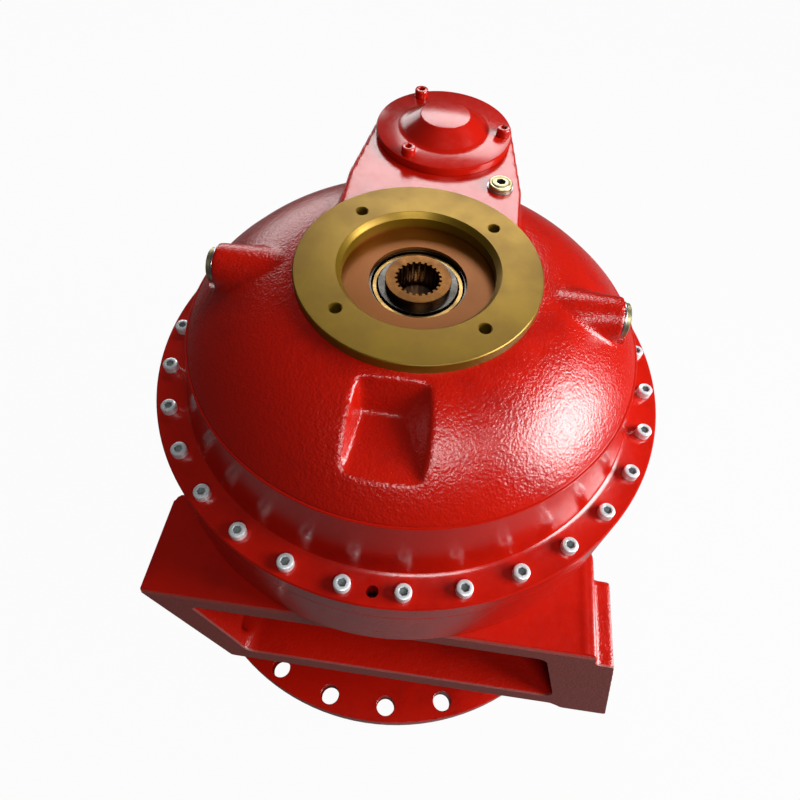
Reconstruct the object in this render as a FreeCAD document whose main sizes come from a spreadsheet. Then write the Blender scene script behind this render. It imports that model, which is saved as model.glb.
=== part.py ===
import FreeCAD, Part
import itertools
import math
import os
import Sketcher

# Mixer drum gearbox: a three-stage planetary gearbox that carries and turns a truck mixer drum.
# It stands on its drum flange with the motor end up. The origin is the centre of the drum
# flange's outer face, the foot faces -Y and the blanked auxiliary housing faces +Y.

TINY = 1e-6

doc = FreeCAD.newDocument("MixerDrumGearbox")
sheet = doc.addObject("Spreadsheet::Sheet", "Size")

SIZES = [
    ("motor_face", 480, "height of the motor mounting face above the drum face"),
    ("motor_rim_radius", 101.5, "outer radius of the motor flange"),
    ("motor_rim", 9, "straight rim of the motor flange"),
    ("pilot_radius", 63.5, "radius of the motor pilot bore"),
    ("pilot_depth", 17, "depth of the pilot recess"),
    ("pilot_chamfer", 3.5, "chamfer of the pilot bore"),
    ("pilot_relief", 3.5, "height of the undercut at the foot of the pilot bore"),
    ("relief_depth", 0.8, "radial depth of that undercut and of the spline's"),
    ("motor_bolt_square", 114.5, "square of the four motor bolts"),
    ("motor_bolt_radius", 5.1, "radius of the tapped motor holes"),
    ("motor_bolt_depth", 18, "depth of the tapped motor holes"),
    ("dome_radius", 198.5, "radius where the cast dome meets the machined cone"),
    ("dome_drop", 65, "drop from the motor face to the cone edge"),
    ("dome_arc", 165, "arc radius of the dome in section"),
    ("cone_radius", 209, "radius of the cone at the cover flange"),
    ("joint_radius", 238, "radius of the cover flange and of the housing band"),
    ("joint_drop", 126, "drop from the motor face to the top of the cover flange"),
    ("joint_flange", 23, "thickness of the cover flange"),
    ("joint_fillet", 5, "chamfer-like fillet between cone and flange"),
    ("band_depth", 69, "depth of the round band below the parting plane"),
    ("screw_count", 30, "number of cover screws"),
    ("screw_edge", 12, "distance of the cover screws from the flange's rim"),
    ("screw_radius", 4, "shank radius of the cover screws"),
    ("screw_head_radius", 6.7, "head radius of the cover screws"),
    ("screw_head", 8, "head height of the cover screws"),
    ("screw_length", 45, "shank length of the cover screws"),
    ("hole_gap", 0.5, "radial gap of a screw in its clearance hole"),
    ("thread_gap", 0.05, "radial gap kept round a thread"),
    ("jack_radius", 4.8, "radius of the jacking hole"),
    ("fit_gap", 0.05, "radial gap of a seated ring or sleeve"),
    ("run_gap", 0.5, "axial gap between turning faces"),
    ("side_wall", 6, "width of the cover's ledges at the ring gears"),
    ("ledge", 10, "width of the housing's ledges at the ring gear and the carrier bearing"),
    ("sump_slope", 16, "height of the slope under that ledge"),
    ("bearing_step", 8, "radial step of a shoulder behind a bearing"),
    ("drill_past", 4, "depth of a tapped hole past its screw"),
    ("cavity_top_drop", 26, "drop of the cavity roof at the bearing boss"),
    ("cavity_roof_drop", 34, "drop of the cavity roof at its rim"),
    ("boss_radius", 60, "radius of the bearing boss inside the cover"),
    ("boss_depth", 46, "depth of the bearing boss below the motor face"),
    ("bearing_lip", 3, "lip above the input bearing"),
    ("lip_radius", 41, "radius of the opening in the recess floor"),
    ("input_outer", 45, "outer radius of the input bearing"),
    ("input_inner", 27.5, "inner radius of the input bearing"),
    ("input_width", 18, "width of the input bearing"),
    ("input_ball", 5.5, "ball radius of the input bearing"),
    ("input_ball_count", 11, "number of balls in the input bearing"),
    ("ring_wire", 2.5, "thickness of a retaining ring"),
    ("ring_lip", 4, "reach of a retaining ring inside its bore"),
    ("groove_depth", 2.5, "depth of a retaining ring groove"),
    ("hub_radius", 28.5, "outer radius of the input hub above the bearing"),
    ("hub_top_drop", 14, "drop from the motor face to the hub's end"),
    ("hub_shoulder", 33, "radius of the hub's collar below the bearing"),
    ("spline_minor", 17.4, "inner radius of the internal spline"),
    ("spline_major", 19.3, "outer radius of the internal spline"),
    ("spline_teeth", 23, "number of spline teeth"),
    ("spline_relief", 2, "height of the undercut at the foot of the internal spline"),
    ("spline_taper", 0.8, "width of a spline space at its root for its width at its mouth"),
    ("spline_open", 0.9, "share of the inner radius from which a spline space is cut"),
    ("hub_bore", 15.5, "radius of the hub's bore round the first sun's shaft"),
    ("sun_teeth", 12, "teeth of each sun gear"),
    ("planet_teeth", 18, "teeth of each planet gear"),
    ("flank", 20, "flank angle of all gears in degrees"),
    ("addendum", 0.9, "tooth height above the pitch circle in modules"),
    ("dedendum", 1.25, "tooth depth below the pitch circle in modules"),
    ("backlash", 0.16, "backlash of each mesh in modules"),
    ("tooth_sink", 1.5, "depth to which a tooth is rooted in its wheel"),
    ("stage_gap", 1, "axial gap between a carrier cheek and its gears"),
    ("module_first", 5, "module of the first stage"),
    ("module_second", 6.5, "module of the second stage"),
    ("module_third", 8, "module of the third stage"),
    ("face_first", 24, "face width of the first stage"),
    ("face_second", 30, "face width of the second stage"),
    ("face_third", 41, "face width of the third stage"),
    ("cheek_first", 6, "upper cheek of the first carrier"),
    ("cheek_second", 8, "upper cheek of the second carrier"),
    ("cheek_third", 10, "upper cheek of the third carrier"),
    ("plate_first", 12, "lower plate of the first carrier"),
    ("plate_second", 14, "lower plate of the second carrier"),
    ("plate_third", 15, "lower plate of the third carrier"),
    ("carrier_gap", 2, "gap between one carrier and the next, and round a planet in its carrier"),
    ("rim_first", 16, "wall of the first ring gear outside its teeth"),
    ("rim_second", 16, "wall of the second ring gear outside its teeth"),
    ("rim_third", 14, "wall of the third ring gear outside its teeth"),
    ("carrier_rim", 1.6, "rim of a carrier outside its pins in modules"),
    ("spline_gap", 0.3, "gap between a sun's teeth and the carrier that drives it"),
    ("pin_ratio", 3, "planet pin radius in modules"),
    ("top_drop", 47, "drop from the motor face to the first carrier"),
    ("swivel_height", 150, "height of the drum bearing's centre above the drum face"),
    ("sphere_radius", 116, "radius of the drum bearing's spherical raceway"),
    ("drum_outer", 130, "outer radius of the drum bearing"),
    ("drum_inner", 82, "inner radius of the drum bearing"),
    ("drum_width", 64, "width of the drum bearing"),
    ("roller_radius", 12, "roller radius of the drum bearing"),
    ("roller_length", 22, "roller length of the drum bearing"),
    ("roller_count", 14, "rollers in each row of the drum bearing"),
    ("roller_offset", 18, "distance of each roller row from the bearing's centre"),
    ("roller_gap", 0.3, "gap of balls and rollers in their raceways"),
    ("ball_land", 0.55, "half gap between the rings of a ball bearing in ball radii"),
    ("ball_cage_wall", 0.25, "half wall of a ball cage in ball radii"),
    ("ball_cage_half", 1.25, "half height of a ball cage in ball radii"),
    ("neck_radius", 152, "outer radius of the housing round the drum bearing"),
    ("neck_top", 200, "height where the neck begins to widen"),
    ("neck_bottom", 112, "height of the neck's lower end"),
    ("body_radius", 205, "radius of the housing below the band"),
    ("body_bottom", 236, "height where the body begins to taper"),
    ("shoulder_depth", 8, "depth of that shoulder"),
    ("sump_radius", 180, "radius of the cavity floor under the third carrier"),
    ("carrier_bearing_outer", 90, "outer radius of the carrier bearing"),
    ("carrier_bearing_inner", 50, "inner radius of the carrier bearing"),
    ("carrier_bearing_width", 34, "width of the carrier bearing"),
    ("carrier_bearing_bottom", 212, "height of the carrier bearing's lower face"),
    ("carrier_ball", 10.5, "ball radius of the carrier bearing"),
    ("carrier_ball_count", 12, "number of balls in the carrier bearing"),
    ("coupling_teeth", 20, "teeth of the gear coupling"),
    ("coupling_radius", 60, "pitch radius of the gear coupling"),
    ("coupling_height", 4, "tooth height above and below the coupling's pitch circle"),
    ("coupling_half", 6, "half length of the coupling's inner teeth"),
    ("coupling_gap", 1.8, "flank gap of the coupling that lets it tilt"),
    ("coupling_reach", 20, "half length of the coupling's outer teeth"),
    ("coupling_neck", 44, "shaft radius above the coupling's teeth"),
    ("cup_gap", 0.3, "gap of the centre ball in its cups"),
    ("ball_room", 4, "room round the centre ball below its seat"),
    ("tooth_root_room", 2, "room outside the coupling's teeth in the drum hub"),
    ("ball_stub", 14, "radius of the stub that carries the centre ball"),
    ("cage_half", 5.5, "half height of the drum bearing cage's middle ring"),
    ("cage_inner", 97, "inner radius of the drum bearing cage"),
    ("cage_outer", 109, "outer radius of the drum bearing cage"),
    ("cage_reach", 24, "reach of the drum bearing cage's bars"),
    ("cage_bar", 12, "width of the drum bearing cage's bars"),
    ("cage_inset", 2, "inset of those bars from the middle ring's faces"),
    ("drum_shoulder", 16, "radial step of the shoulder under the drum bearing"),
    ("nut_spare", 1, "reach of the drum hub past its lock nut"),
    ("nut_step", 1, "step of the drum hub below the bearing seat at the lock nut"),
    ("centre_ball", 20, "radius of the centre ball"),
    ("seal_sphere", 108, "radius of the drum hub's spherical seal face"),
    ("seal_high", 33, "drop from the swivel centre to the top of the seal face"),
    ("seal_low", 66, "drop from the swivel centre to the foot of the seal face"),
    ("seal_top", 47.5, "drop from the swivel centre to the seal's top"),
    ("seal_width", 5.5, "width of the shaft seal"),
    ("seal_outer", 122, "outer radius of the shaft seal"),
    ("seal_gap", 0.3, "gap of the seal on the spherical face"),
    ("keeper_flange", 20, "thickness of the seal carrier below the neck"),
    ("keeper_screws", 12, "number of seal carrier screws"),
    ("keeper_edge", 11, "distance of the seal carrier's screws from its rim"),
    ("keeper_screw_length", 34, "shank length of the seal carrier screws"),
    ("drum_radius", 275, "outer radius of the drum flange"),
    ("drum_flange", 22, "thickness of the drum flange"),
    ("drum_edge", 17.5, "distance of the drum bolts from the flange's rim"),
    ("drum_hole", 10.5, "radius of the drum bolt holes"),
    ("drum_holes", 24, "number of drum bolt holes"),
    ("drum_phase", 4.7, "turn of the drum bolt holes in degrees"),
    ("drum_foot_radius", 122, "radius of the drum hub at its flange"),
    ("drum_bore", 70, "radius of the drum hub's open lower bore"),
    ("end_plate", 14, "thickness of the drum hub's end plate"),
    ("end_drop", 26, "drop from the swivel centre to the end plate"),
    ("nut_radius", 91, "outer radius of the bearing lock nut"),
    ("nut_height", 8, "height of the bearing lock nut"),
    ("foot_face", 228, "distance of the foot's upper edge from the axis"),
    ("foot_tilt", 12, "lean of the foot's mounting face in degrees"),
    ("foot_edge", 3, "chamfer of the foot's upper front edge"),
    ("foot_back", 130, "distance from the axis where the foot's walls begin"),
    ("foot_left", 212, "reach of the foot to the left at its top"),
    ("foot_right", 200, "reach of the foot's top plate to the right"),
    ("foot_drop", 105, "height of the foot"),
    ("foot_left_low", 140, "reach of the foot to the left at its base"),
    ("foot_plate", 16, "thickness of the foot's top plate"),
    ("foot_base", 14, "thickness of the foot's bottom plate"),
    ("pad_ease", 2, "slope of the step down to the side pad"),
    ("pad_back", 152, "distance from the axis where the side pad begins"),
    ("wing_round", 12, "radius of the foot's left rear corner"),
    ("window_round", 10, "corner radius of the foot's window"),
    ("window_low_round", 16, "corner radius of the window's lower left corner"),
    ("pad_step", 12, "step from the top plate down to the side pad"),
    ("pad_top", 219, "reach of the side pad at its top"),
    ("pad_low", 241, "reach of the side pad at its base"),
    ("pad_base", 112, "drop of the side pad's base"),
    ("pad_inner", 196, "inner reach of the side pad at its base"),
    ("window_left", 168, "reach of the foot's window to the left at its top"),
    ("window_left_low", 127, "reach of the foot's window to the left at its base"),
    ("window_right", 163, "reach of the foot's window to the right at its top"),
    ("window_right_low", 183, "reach of the foot's window to the right at its base"),
    ("slot_length", 24, "length of the oblong hole in the slanted wall"),
    ("slot_width", 11, "width of the oblong hole in the slanted wall"),
    ("slot_height", 179, "height of the oblong hole"),
    ("slot_front", 3, "distance of the oblong hole's front arc behind the foot's upper edge"),
    ("ear_centre", 192, "distance of the auxiliary housing from the axis"),
    ("ear_radius", 69.5, "end radius of the auxiliary housing"),
    ("ear_root", 80, "half width of the auxiliary housing at the dome"),
    ("ear_root_reach", 118, "distance from the axis where that width holds"),
    ("ear_drop", 4, "drop from the motor face to the auxiliary housing's top"),
    ("ear_depth", 76, "depth of the auxiliary housing"),
    ("ear_lean", 10, "angle at which the ear's sides meet its round end in degrees"),
    ("ear_bore", 46, "radius of the auxiliary housing's bore"),
    ("ear_bore_depth", 45, "depth of the auxiliary housing's bore"),
    ("drill_point", 2, "depth of the auxiliary screw holes past their screws"),
    ("plate_radius", 66.5, "radius of the auxiliary cover plate"),
    ("plate_thick", 8, "thickness of the auxiliary cover plate"),
    ("cap_base", 45, "radius of the raised cap at its base"),
    ("cap_top", 24.5, "radius of the raised cap at its top"),
    ("cap_height", 14, "height of the raised cap"),
    ("cap_shoulder", 7, "width of the slope below the cap's top"),
    ("cap_slope", 3, "drop of that slope"),
    ("plate_edge", 1, "chamfer of the auxiliary cover plate"),
    ("aux_edge", 8.8, "distance of the auxiliary cover's screws from its rim"),
    ("aux_phase", 0, "turn of the auxiliary cover screws in degrees"),
    ("aux_screw_length", 22, "shank length of the auxiliary cover screws"),
    ("oring", 1.8, "section radius of the cover plate's O-ring"),
    ("oring_wall", 1.4, "wall between the auxiliary bore and the O-ring groove"),
    ("side_drop", 31, "drop of the side bosses below the motor face"),
    ("side_face", 172, "distance of the side boss faces from the axis"),
    ("side_radius", 19.5, "radius of a side boss at its face"),
    ("side_root", 32, "radius of a side boss at its root"),
    ("side_length", 60, "length of a side boss"),
    ("plug_thread", 12, "thread radius of a side plug"),
    ("plug_collar", 15, "collar radius of a side plug"),
    ("plug_head", 5, "collar thickness of a plug"),
    ("plug_depth", 18, "thread length of a plug"),
    ("washer", 1.5, "thickness of a sealing washer"),
    ("washer_over", 1, "reach of a sealing washer past the collar"),
    ("plug_socket", 6, "inner radius of a side plug's hexagon socket"),
    ("filler_across", 60, "sideways distance of the filler plug"),
    ("filler_back", 120, "backward distance of the filler plug"),
    ("filler_thread", 8, "thread radius of the filler plug"),
    ("filler_collar", 11, "collar radius of the filler plug"),
    ("filler_socket", 4, "inner radius of the filler plug's hexagon socket"),
    ("recess_backing", 18, "height of the thick place under the front recess"),
    ("recess_margin", 10, "reach of that thick place past the recess"),
    ("recess_left", 33, "reach of the front recess to the left"),
    ("recess_right", 29, "reach of the front recess to the right"),
    ("recess_top", 104, "distance of the front recess's upper edge from the axis"),
    ("recess_low", 176, "distance of the front recess's lower edge from the axis"),
    ("recess_valley", 121, "distance of the front recess's valley from the axis"),
    ("recess_depth", 38, "drop of the front recess's valley below the motor face"),
    ("recess_valley_left", 27, "reach of the valley to the left"),
    ("recess_valley_right", 6, "reach of the valley to the right"),
    ("recess_steepness", 2.2, "reach of the recess's back wall for one step inward"),
    ("recess_spread", 2, "widening of the recess towards its mouth"),
    ("recess_past", 6, "reach of the recess past its lower edge"),
    ("recess_fall", 0.08, "slope of the recess's floor"),
]

for row, (alias, number, meaning) in enumerate(SIZES, 1):
    sheet.set(f"A{row}", meaning)
    sheet.set(f"B{row}", str(number))
    sheet.setAlias(f"B{row}", alias)
doc.recompute()


# Helpers: reading a size, and drawing profiles whose corners are bound to the sheet
def value(expression):
    result = sheet.evalExpression(expression)
    return float(getattr(result, "Value", result))


def new_body(label):
    body = doc.addObject("PartDesign::Body", label)
    body.Label = label
    return body


def origin_feature(body, role):
    return next(item for item in body.Origin.OriginFeatures if item.Role == role)


def new_sketch(body, name, role, offset=None):
    sketch = body.newObject("Sketcher::SketchObject", name)
    sketch.AttachmentSupport = [(origin_feature(body, role), "")]
    sketch.MapMode = "FlatFace"
    if offset is not None:
        sketch.setExpression("AttachmentOffset.Base.z", offset)
    return sketch


def bind_coordinate(sketch, kind, geometry, end, expression):
    number = value(expression)
    if abs(number) < TINY:
        axis = -2 if kind == "DistanceX" else -1
        sketch.addConstraint(Sketcher.Constraint("PointOnObject", geometry, end, axis))
        return
    index = sketch.addConstraint(Sketcher.Constraint(kind, -1, 1, geometry, end, number))
    sketch.setExpression(f"Constraints[{index}]", expression)


# A closed outline: each corner is (across, up), and an arc radius may follow for the
# stretch to the next corner. A positive radius bulges to the left of the way round.
def draw_outline(sketch, corners):
    spots = [FreeCAD.Vector(value(corner[0]), value(corner[1]), 0) for corner in corners]
    count = len(corners)
    ends = []
    for index, corner in enumerate(corners):
        start = spots[index]
        finish = spots[(index + 1) % count]
        if len(corner) == 2:
            geometry = sketch.addGeometry(Part.LineSegment(start, finish))
            ends.append((geometry, 1, 2))
            continue
        radius = value(corner[2])
        chord = finish - start
        inward = math.sqrt(radius * radius - chord.Length ** 2 / 4)
        side = FreeCAD.Vector(chord.y, -chord.x, 0).normalize() * math.copysign(inward, radius)
        centre = (start + finish) / 2 + side
        first, last = (finish, start) if radius > 0 else (start, finish)
        from_angle = math.atan2(first.y - centre.y, first.x - centre.x)
        to_angle = math.atan2(last.y - centre.y, last.x - centre.x)
        if to_angle < from_angle:
            to_angle += 2 * math.pi
        circle = Part.Circle(centre, FreeCAD.Vector(0, 0, 1), abs(radius))
        geometry = sketch.addGeometry(Part.ArcOfCircle(circle, from_angle, to_angle))
        ends.append((geometry, 2, 1) if radius > 0 else (geometry, 1, 2))
        limit = sketch.addConstraint(Sketcher.Constraint("Radius", geometry, abs(radius)))
        sketch.setExpression(f"Constraints[{limit}]", f"abs({corner[2]})")
    for index in range(count):
        geometry, first, last = ends[index]
        following, following_first, unused = ends[(index + 1) % count]
        joint = Sketcher.Constraint("Coincident", geometry, last, following, following_first)
        sketch.addConstraint(joint)
    for index, corner in enumerate(corners):
        geometry, first, last = ends[index]
        bind_coordinate(sketch, "DistanceX", geometry, first, corner[0])
        bind_coordinate(sketch, "DistanceY", geometry, first, corner[1])


def draw_circle(sketch, across, up, radius):
    centre = FreeCAD.Vector(value(across), value(up), 0)
    circle = Part.Circle(centre, FreeCAD.Vector(0, 0, 1), value(radius))
    geometry = sketch.addGeometry(circle)
    bind_coordinate(sketch, "DistanceX", geometry, 3, across)
    bind_coordinate(sketch, "DistanceY", geometry, 3, up)
    index = sketch.addConstraint(Sketcher.Constraint("Radius", geometry, value(radius)))
    sketch.setExpression(f"Constraints[{index}]", radius)


def turn(body, name, corners, cut=False):
    sketch = new_sketch(body, f"{name}_profile", "XZ_Plane")
    draw_outline(sketch, corners)
    kind = "PartDesign::Groove" if cut else "PartDesign::Revolution"
    feature = body.newObject(kind, name)
    feature.Profile = sketch
    feature.ReferenceAxis = (sketch, ["V_Axis"])
    feature.Angle = 360
    return feature


def raise_pad(body, name, sketch, length, downward=False, cut=False):
    kind = "PartDesign::Pocket" if cut else "PartDesign::Pad"
    feature = body.newObject(kind, name)
    feature.Profile = sketch
    feature.setExpression("Length", length)
    feature.Reversed = downward
    return feature


# Round holes down from a height, repeated round the axis
def drill_circle(body, name, across, up, radius, top, depth, count=None):
    sketch = new_sketch(body, f"{name}_circle", "XY_Plane", top)
    draw_circle(sketch, across, up, radius)
    hole = raise_pad(body, name, sketch, depth, cut=True)
    return repeat_round(body, name, hole, count) if count else hole


def repeat_round(body, name, feature, count):
    pattern = body.newObject("PartDesign::PolarPattern", f"{name}_pattern")
    pattern.Originals = [feature]
    pattern.Axis = (origin_feature(body, "Z_Axis"), [""])
    pattern.Angle = 360
    pattern.setExpression("Occurrences", count)
    body.Tip = pattern
    return pattern


def turned_body(label, corners):
    body = new_body(label)
    turn(body, f"{label}_turn", corners)
    return body


# A plain primitive with its sizes and its place bound to the sheet
def primitive(kind, label, sizes, place=(), turned=None):
    item = doc.addObject(kind, label)
    item.Label = label
    for name, expression in sizes.items():
        item.setExpression(name, expression)
    if turned is not None:
        item.Placement.Rotation = turned
    for axis, expression in zip("xyz", place):
        item.setExpression(f"Placement.Base.{axis}", expression)
    return item


def joined(label, items):
    whole = doc.addObject("Part::MultiFuse", label)
    whole.Label = label
    whole.Shapes = items
    return whole


def cut_out(label, base, tool):
    whole = doc.addObject("Part::Cut", label)
    whole.Label = label
    whole.Base = base
    whole.Tool = tool
    return whole


# Copies of one solid turned round the axis, kept as separate solids of one group
def ring_of_copies(label, shape, count, phase=0.0, centre=(0.0, 0.0)):
    pivot = FreeCAD.Vector(centre[0], centre[1], 0)
    copies = []
    for index in range(count):
        copy = shape.copy()
        copy.rotate(pivot, FreeCAD.Vector(0, 0, 1), phase + 360.0 * index / count)
        copies.append(copy)
    group = doc.addObject("Part::Feature", label)
    group.Label = label
    group.Shape = Part.makeCompound(copies)
    return group


# Heights, all worked out from the motor face downwards or the drum face upwards
JOINT_TOP = "Size.motor_face - Size.joint_drop"
PARTING = f"{JOINT_TOP} - Size.joint_flange"
BAND_LOW = f"{PARTING} - Size.band_depth"
FLOOR = "Size.motor_face - Size.pilot_depth"
INPUT_TOP = f"{FLOOR} - Size.bearing_lip"
INPUT_LOW = f"{INPUT_TOP} - Size.input_width"
BOSS_LOW = "Size.motor_face - Size.boss_depth"
EAR_TOP = "Size.motor_face - Size.ear_drop"
SIDE_HEIGHT = "Size.motor_face - Size.side_drop"
SWIVEL = "Size.swivel_height"
DRUM_TOP = f"{SWIVEL} + Size.drum_width / 2"
DRUM_LOW = f"{SWIVEL} - Size.drum_width / 2"
NUT_CLEAR = "Size.drum_inner - Size.nut_step"

# Bolt circles, each a set distance inside its flange's rim
SCREW_CIRCLE = "(Size.joint_radius - Size.screw_edge)"
KEEPER_CIRCLE = "(Size.neck_radius - Size.keeper_edge)"
DRUM_CIRCLE = "(Size.drum_radius - Size.drum_edge)"
AUX_CIRCLE = "(Size.plate_radius - Size.aux_edge)"

STAGES = ("first", "second", "third")
PLACE = {}
level = "Size.motor_face - Size.top_drop"
for stage in STAGES:
    gear_top = f"{level} - Size.cheek_{stage} - Size.stage_gap"
    gear_low = f"{gear_top} - Size.face_{stage}"
    plate_top = f"{gear_low} - Size.stage_gap"
    plate_low = f"{plate_top} - Size.plate_{stage}"
    PLACE[stage] = {
        "top": level,
        "gear_top": gear_top,
        "gear_low": gear_low,
        "plate_top": plate_top,
        "plate_low": plate_low,
    }
    level = f"{plate_low} - Size.carrier_gap"


def module(stage):
    return f"Size.module_{stage}"


def ring_pitch(stage):
    return f"{module(stage)} * (Size.sun_teeth / 2 + Size.planet_teeth)"


def ring_seat(stage):
    return f"{ring_pitch(stage)} + Size.dedendum * {module(stage)} + Size.rim_{stage}"


def centre_distance(stage):
    return f"{module(stage)} * (Size.sun_teeth + Size.planet_teeth) / 2"


def pin_radius(stage):
    return f"{module(stage)} * Size.pin_ratio"


def sun_tip(stage):
    return f"{module(stage)} * (Size.sun_teeth / 2 + Size.addendum)"


def tooth_half(stage, height, gap="0"):
    thick = f"{module(stage)} * (pi / 4 - Size.backlash / 2)"
    return f"{thick} - ({height}) * {module(stage)} * tan(Size.flank * 1 deg) + {gap}"


def tooth_corners(low, low_half, high, high_half):
    return mirrored([(low, low_half), (high, high_half)])


# Both sides of a tooth from the corners of one side, from its root to its tip
def mirrored(side):
    return [(across, f"-({half})") for across, half in side] + side[::-1]


# Cover: the domed casting that holds the input bearing and the first two ring gears
SPIGOT_LOW = f"{PLACE['third']['gear_top']} + Size.run_gap"


def make_cover():
    body = new_body("cover_casting")
    turn(body, "dome", [
        ("0", "Size.motor_face"),
        ("Size.motor_rim_radius", "Size.motor_face"),
        ("Size.motor_rim_radius", "Size.motor_face - Size.motor_rim", "Size.dome_arc"),
        ("Size.dome_radius", "Size.motor_face - Size.dome_drop"),
        ("Size.cone_radius", f"{JOINT_TOP} + Size.joint_fillet"),
        ("Size.cone_radius + Size.joint_fillet", JOINT_TOP),
        ("Size.joint_radius", JOINT_TOP),
        ("Size.joint_radius", PARTING),
        (f"{ring_seat('third')} - Size.fit_gap", PARTING),
        (f"{ring_seat('third')} - Size.fit_gap", SPIGOT_LOW),
        ("0", SPIGOT_LOW),
    ])
    make_auxiliary_housing(body)
    for side, name in ((1, "right"), (-1, "left")):
        make_side_boss(body, side, name)
    second_wall = f"{ring_seat('second')} - Size.side_wall"
    turn(body, "inside", [
        ("0", "Size.motor_face"),
        ("Size.pilot_radius + Size.pilot_chamfer", "Size.motor_face"),
        ("Size.pilot_radius", "Size.motor_face - Size.pilot_chamfer"),
        ("Size.pilot_radius", f"{FLOOR} + Size.pilot_relief"),
        ("Size.pilot_radius + Size.relief_depth", f"{FLOOR} + Size.pilot_relief"),
        ("Size.pilot_radius + Size.relief_depth", FLOOR),
        ("Size.lip_radius", FLOOR),
        ("Size.lip_radius", INPUT_TOP),
        ("Size.input_outer + Size.fit_gap", INPUT_TOP),
        ("Size.input_outer + Size.fit_gap", BOSS_LOW),
        ("Size.boss_radius", BOSS_LOW),
        ("Size.boss_radius", "Size.motor_face - Size.cavity_top_drop"),
        (f"{ring_seat('first')} - Size.side_wall", "Size.motor_face - Size.cavity_roof_drop"),
        (f"{ring_seat('first')} - Size.side_wall", PLACE["first"]["gear_top"]),
        (ring_seat("first"), PLACE["first"]["gear_top"]),
        (ring_seat("first"), f"{PLACE['first']['gear_low']} - Size.side_wall"),
        (second_wall, f"{PLACE['first']['gear_low']} - Size.side_wall"),
        (second_wall, PLACE["second"]["gear_top"]),
        (ring_seat("second"), PLACE["second"]["gear_top"]),
        (ring_seat("second"), SPIGOT_LOW),
        ("0", SPIGOT_LOW),
    ], cut=True)
    groove = ring_groove_outline("Size.input_outer + Size.fit_gap", INPUT_LOW)
    turn(body, "ring_groove", groove, cut=True)
    back_recess(body)
    drill_cover(body)
    return body


# A thick place under the front recess keeps the casting closed there
def back_recess(body):
    top = f"{BOSS_LOW} + Size.recess_backing"
    reach = "Size.recess_left + Size.recess_margin"
    sketch = new_sketch(body, "backing_outline", "XY_Plane", top)
    draw_outline(sketch, [
        (f"-({reach})", f"-({ring_seat('first')})"),
        (reach, f"-({ring_seat('first')})"),
        (reach, "-Size.recess_top + Size.recess_margin"),
        (f"-({reach})", "-Size.recess_top + Size.recess_margin"),
    ])
    raise_pad(body, "recess_backing", sketch, "Size.recess_backing", downward=True)


# The groove is cut from the open bore outwards
def ring_groove_outline(bore, top):
    low = f"{top} - Size.ring_wire - Size.fit_gap"
    return [
        (f"{bore} - Size.groove_depth", top),
        (f"{bore} + Size.groove_depth", top),
        (f"{bore} + Size.groove_depth", low),
        (f"{bore} - Size.groove_depth", low),
    ]


# Auxiliary housing: an ear on the cover, open at the top under its round plate
def make_auxiliary_housing(body):
    across = "Size.ear_radius * cos(Size.ear_lean * 1 deg)"
    back = "Size.ear_centre - Size.ear_radius * sin(Size.ear_lean * 1 deg)"
    sketch = new_sketch(body, "ear_outline", "XY_Plane", EAR_TOP)
    draw_outline(sketch, [
        ("-Size.ear_root", "Size.motor_rim_radius / 2"),
        ("-Size.ear_root", "Size.ear_root_reach"),
        (f"-({across})", back, "Size.ear_radius"),
        ("0", "Size.ear_centre + Size.ear_radius", "Size.ear_radius"),
        (across, back),
        ("Size.ear_root", "Size.ear_root_reach"),
        ("Size.ear_root", "Size.motor_rim_radius / 2"),
    ])
    raise_pad(body, "ear", sketch, "Size.ear_depth", downward=True)
    sketch = new_sketch(body, "ear_bore_circle", "XY_Plane", EAR_TOP)
    draw_circle(sketch, "0", "Size.ear_centre", "Size.ear_bore")
    raise_pad(body, "ear_bore", sketch, "Size.ear_bore_depth", cut=True)
    sketch = new_sketch(body, "oring_circles", "XY_Plane", EAR_TOP)
    draw_circle(sketch, "0", "Size.ear_centre", ORING_IN)
    draw_circle(sketch, "0", "Size.ear_centre", ORING_OUT)
    raise_pad(body, "oring_groove", sketch, "2 * Size.oring + Size.fit_gap", cut=True)
    depth = "Size.aux_screw_length - Size.plate_thick + Size.drill_point"
    for number, across, back in auxiliary_holes("Size.ear_centre"):
        drill_circle(body, f"aux_hole_{number}", across, back,
                     "Size.screw_radius + Size.thread_gap", EAR_TOP, depth)
    drill_circle(body, "filler_hole", "Size.filler_across", "Size.filler_back",
                 "Size.filler_thread + Size.thread_gap", EAR_TOP, f"{EAR_TOP} - ({BOSS_LOW})")


# Number and place of the three auxiliary screws round a centre
def auxiliary_holes(centre):
    places = []
    for index in range(3):
        angle = f"(Size.aux_phase + {index} * 120) * 1 deg"
        places.append((index + 1, f"{AUX_CIRCLE} * cos({angle})",
                       f"{centre} + {AUX_CIRCLE} * sin({angle})"))
    return places


ORING_MIDDLE = "Size.ear_bore + Size.oring + Size.oring_wall"
ORING_IN = f"{ORING_MIDDLE} - Size.oring - Size.fit_gap"
ORING_OUT = f"{ORING_MIDDLE} + Size.oring + Size.fit_gap"


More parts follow.
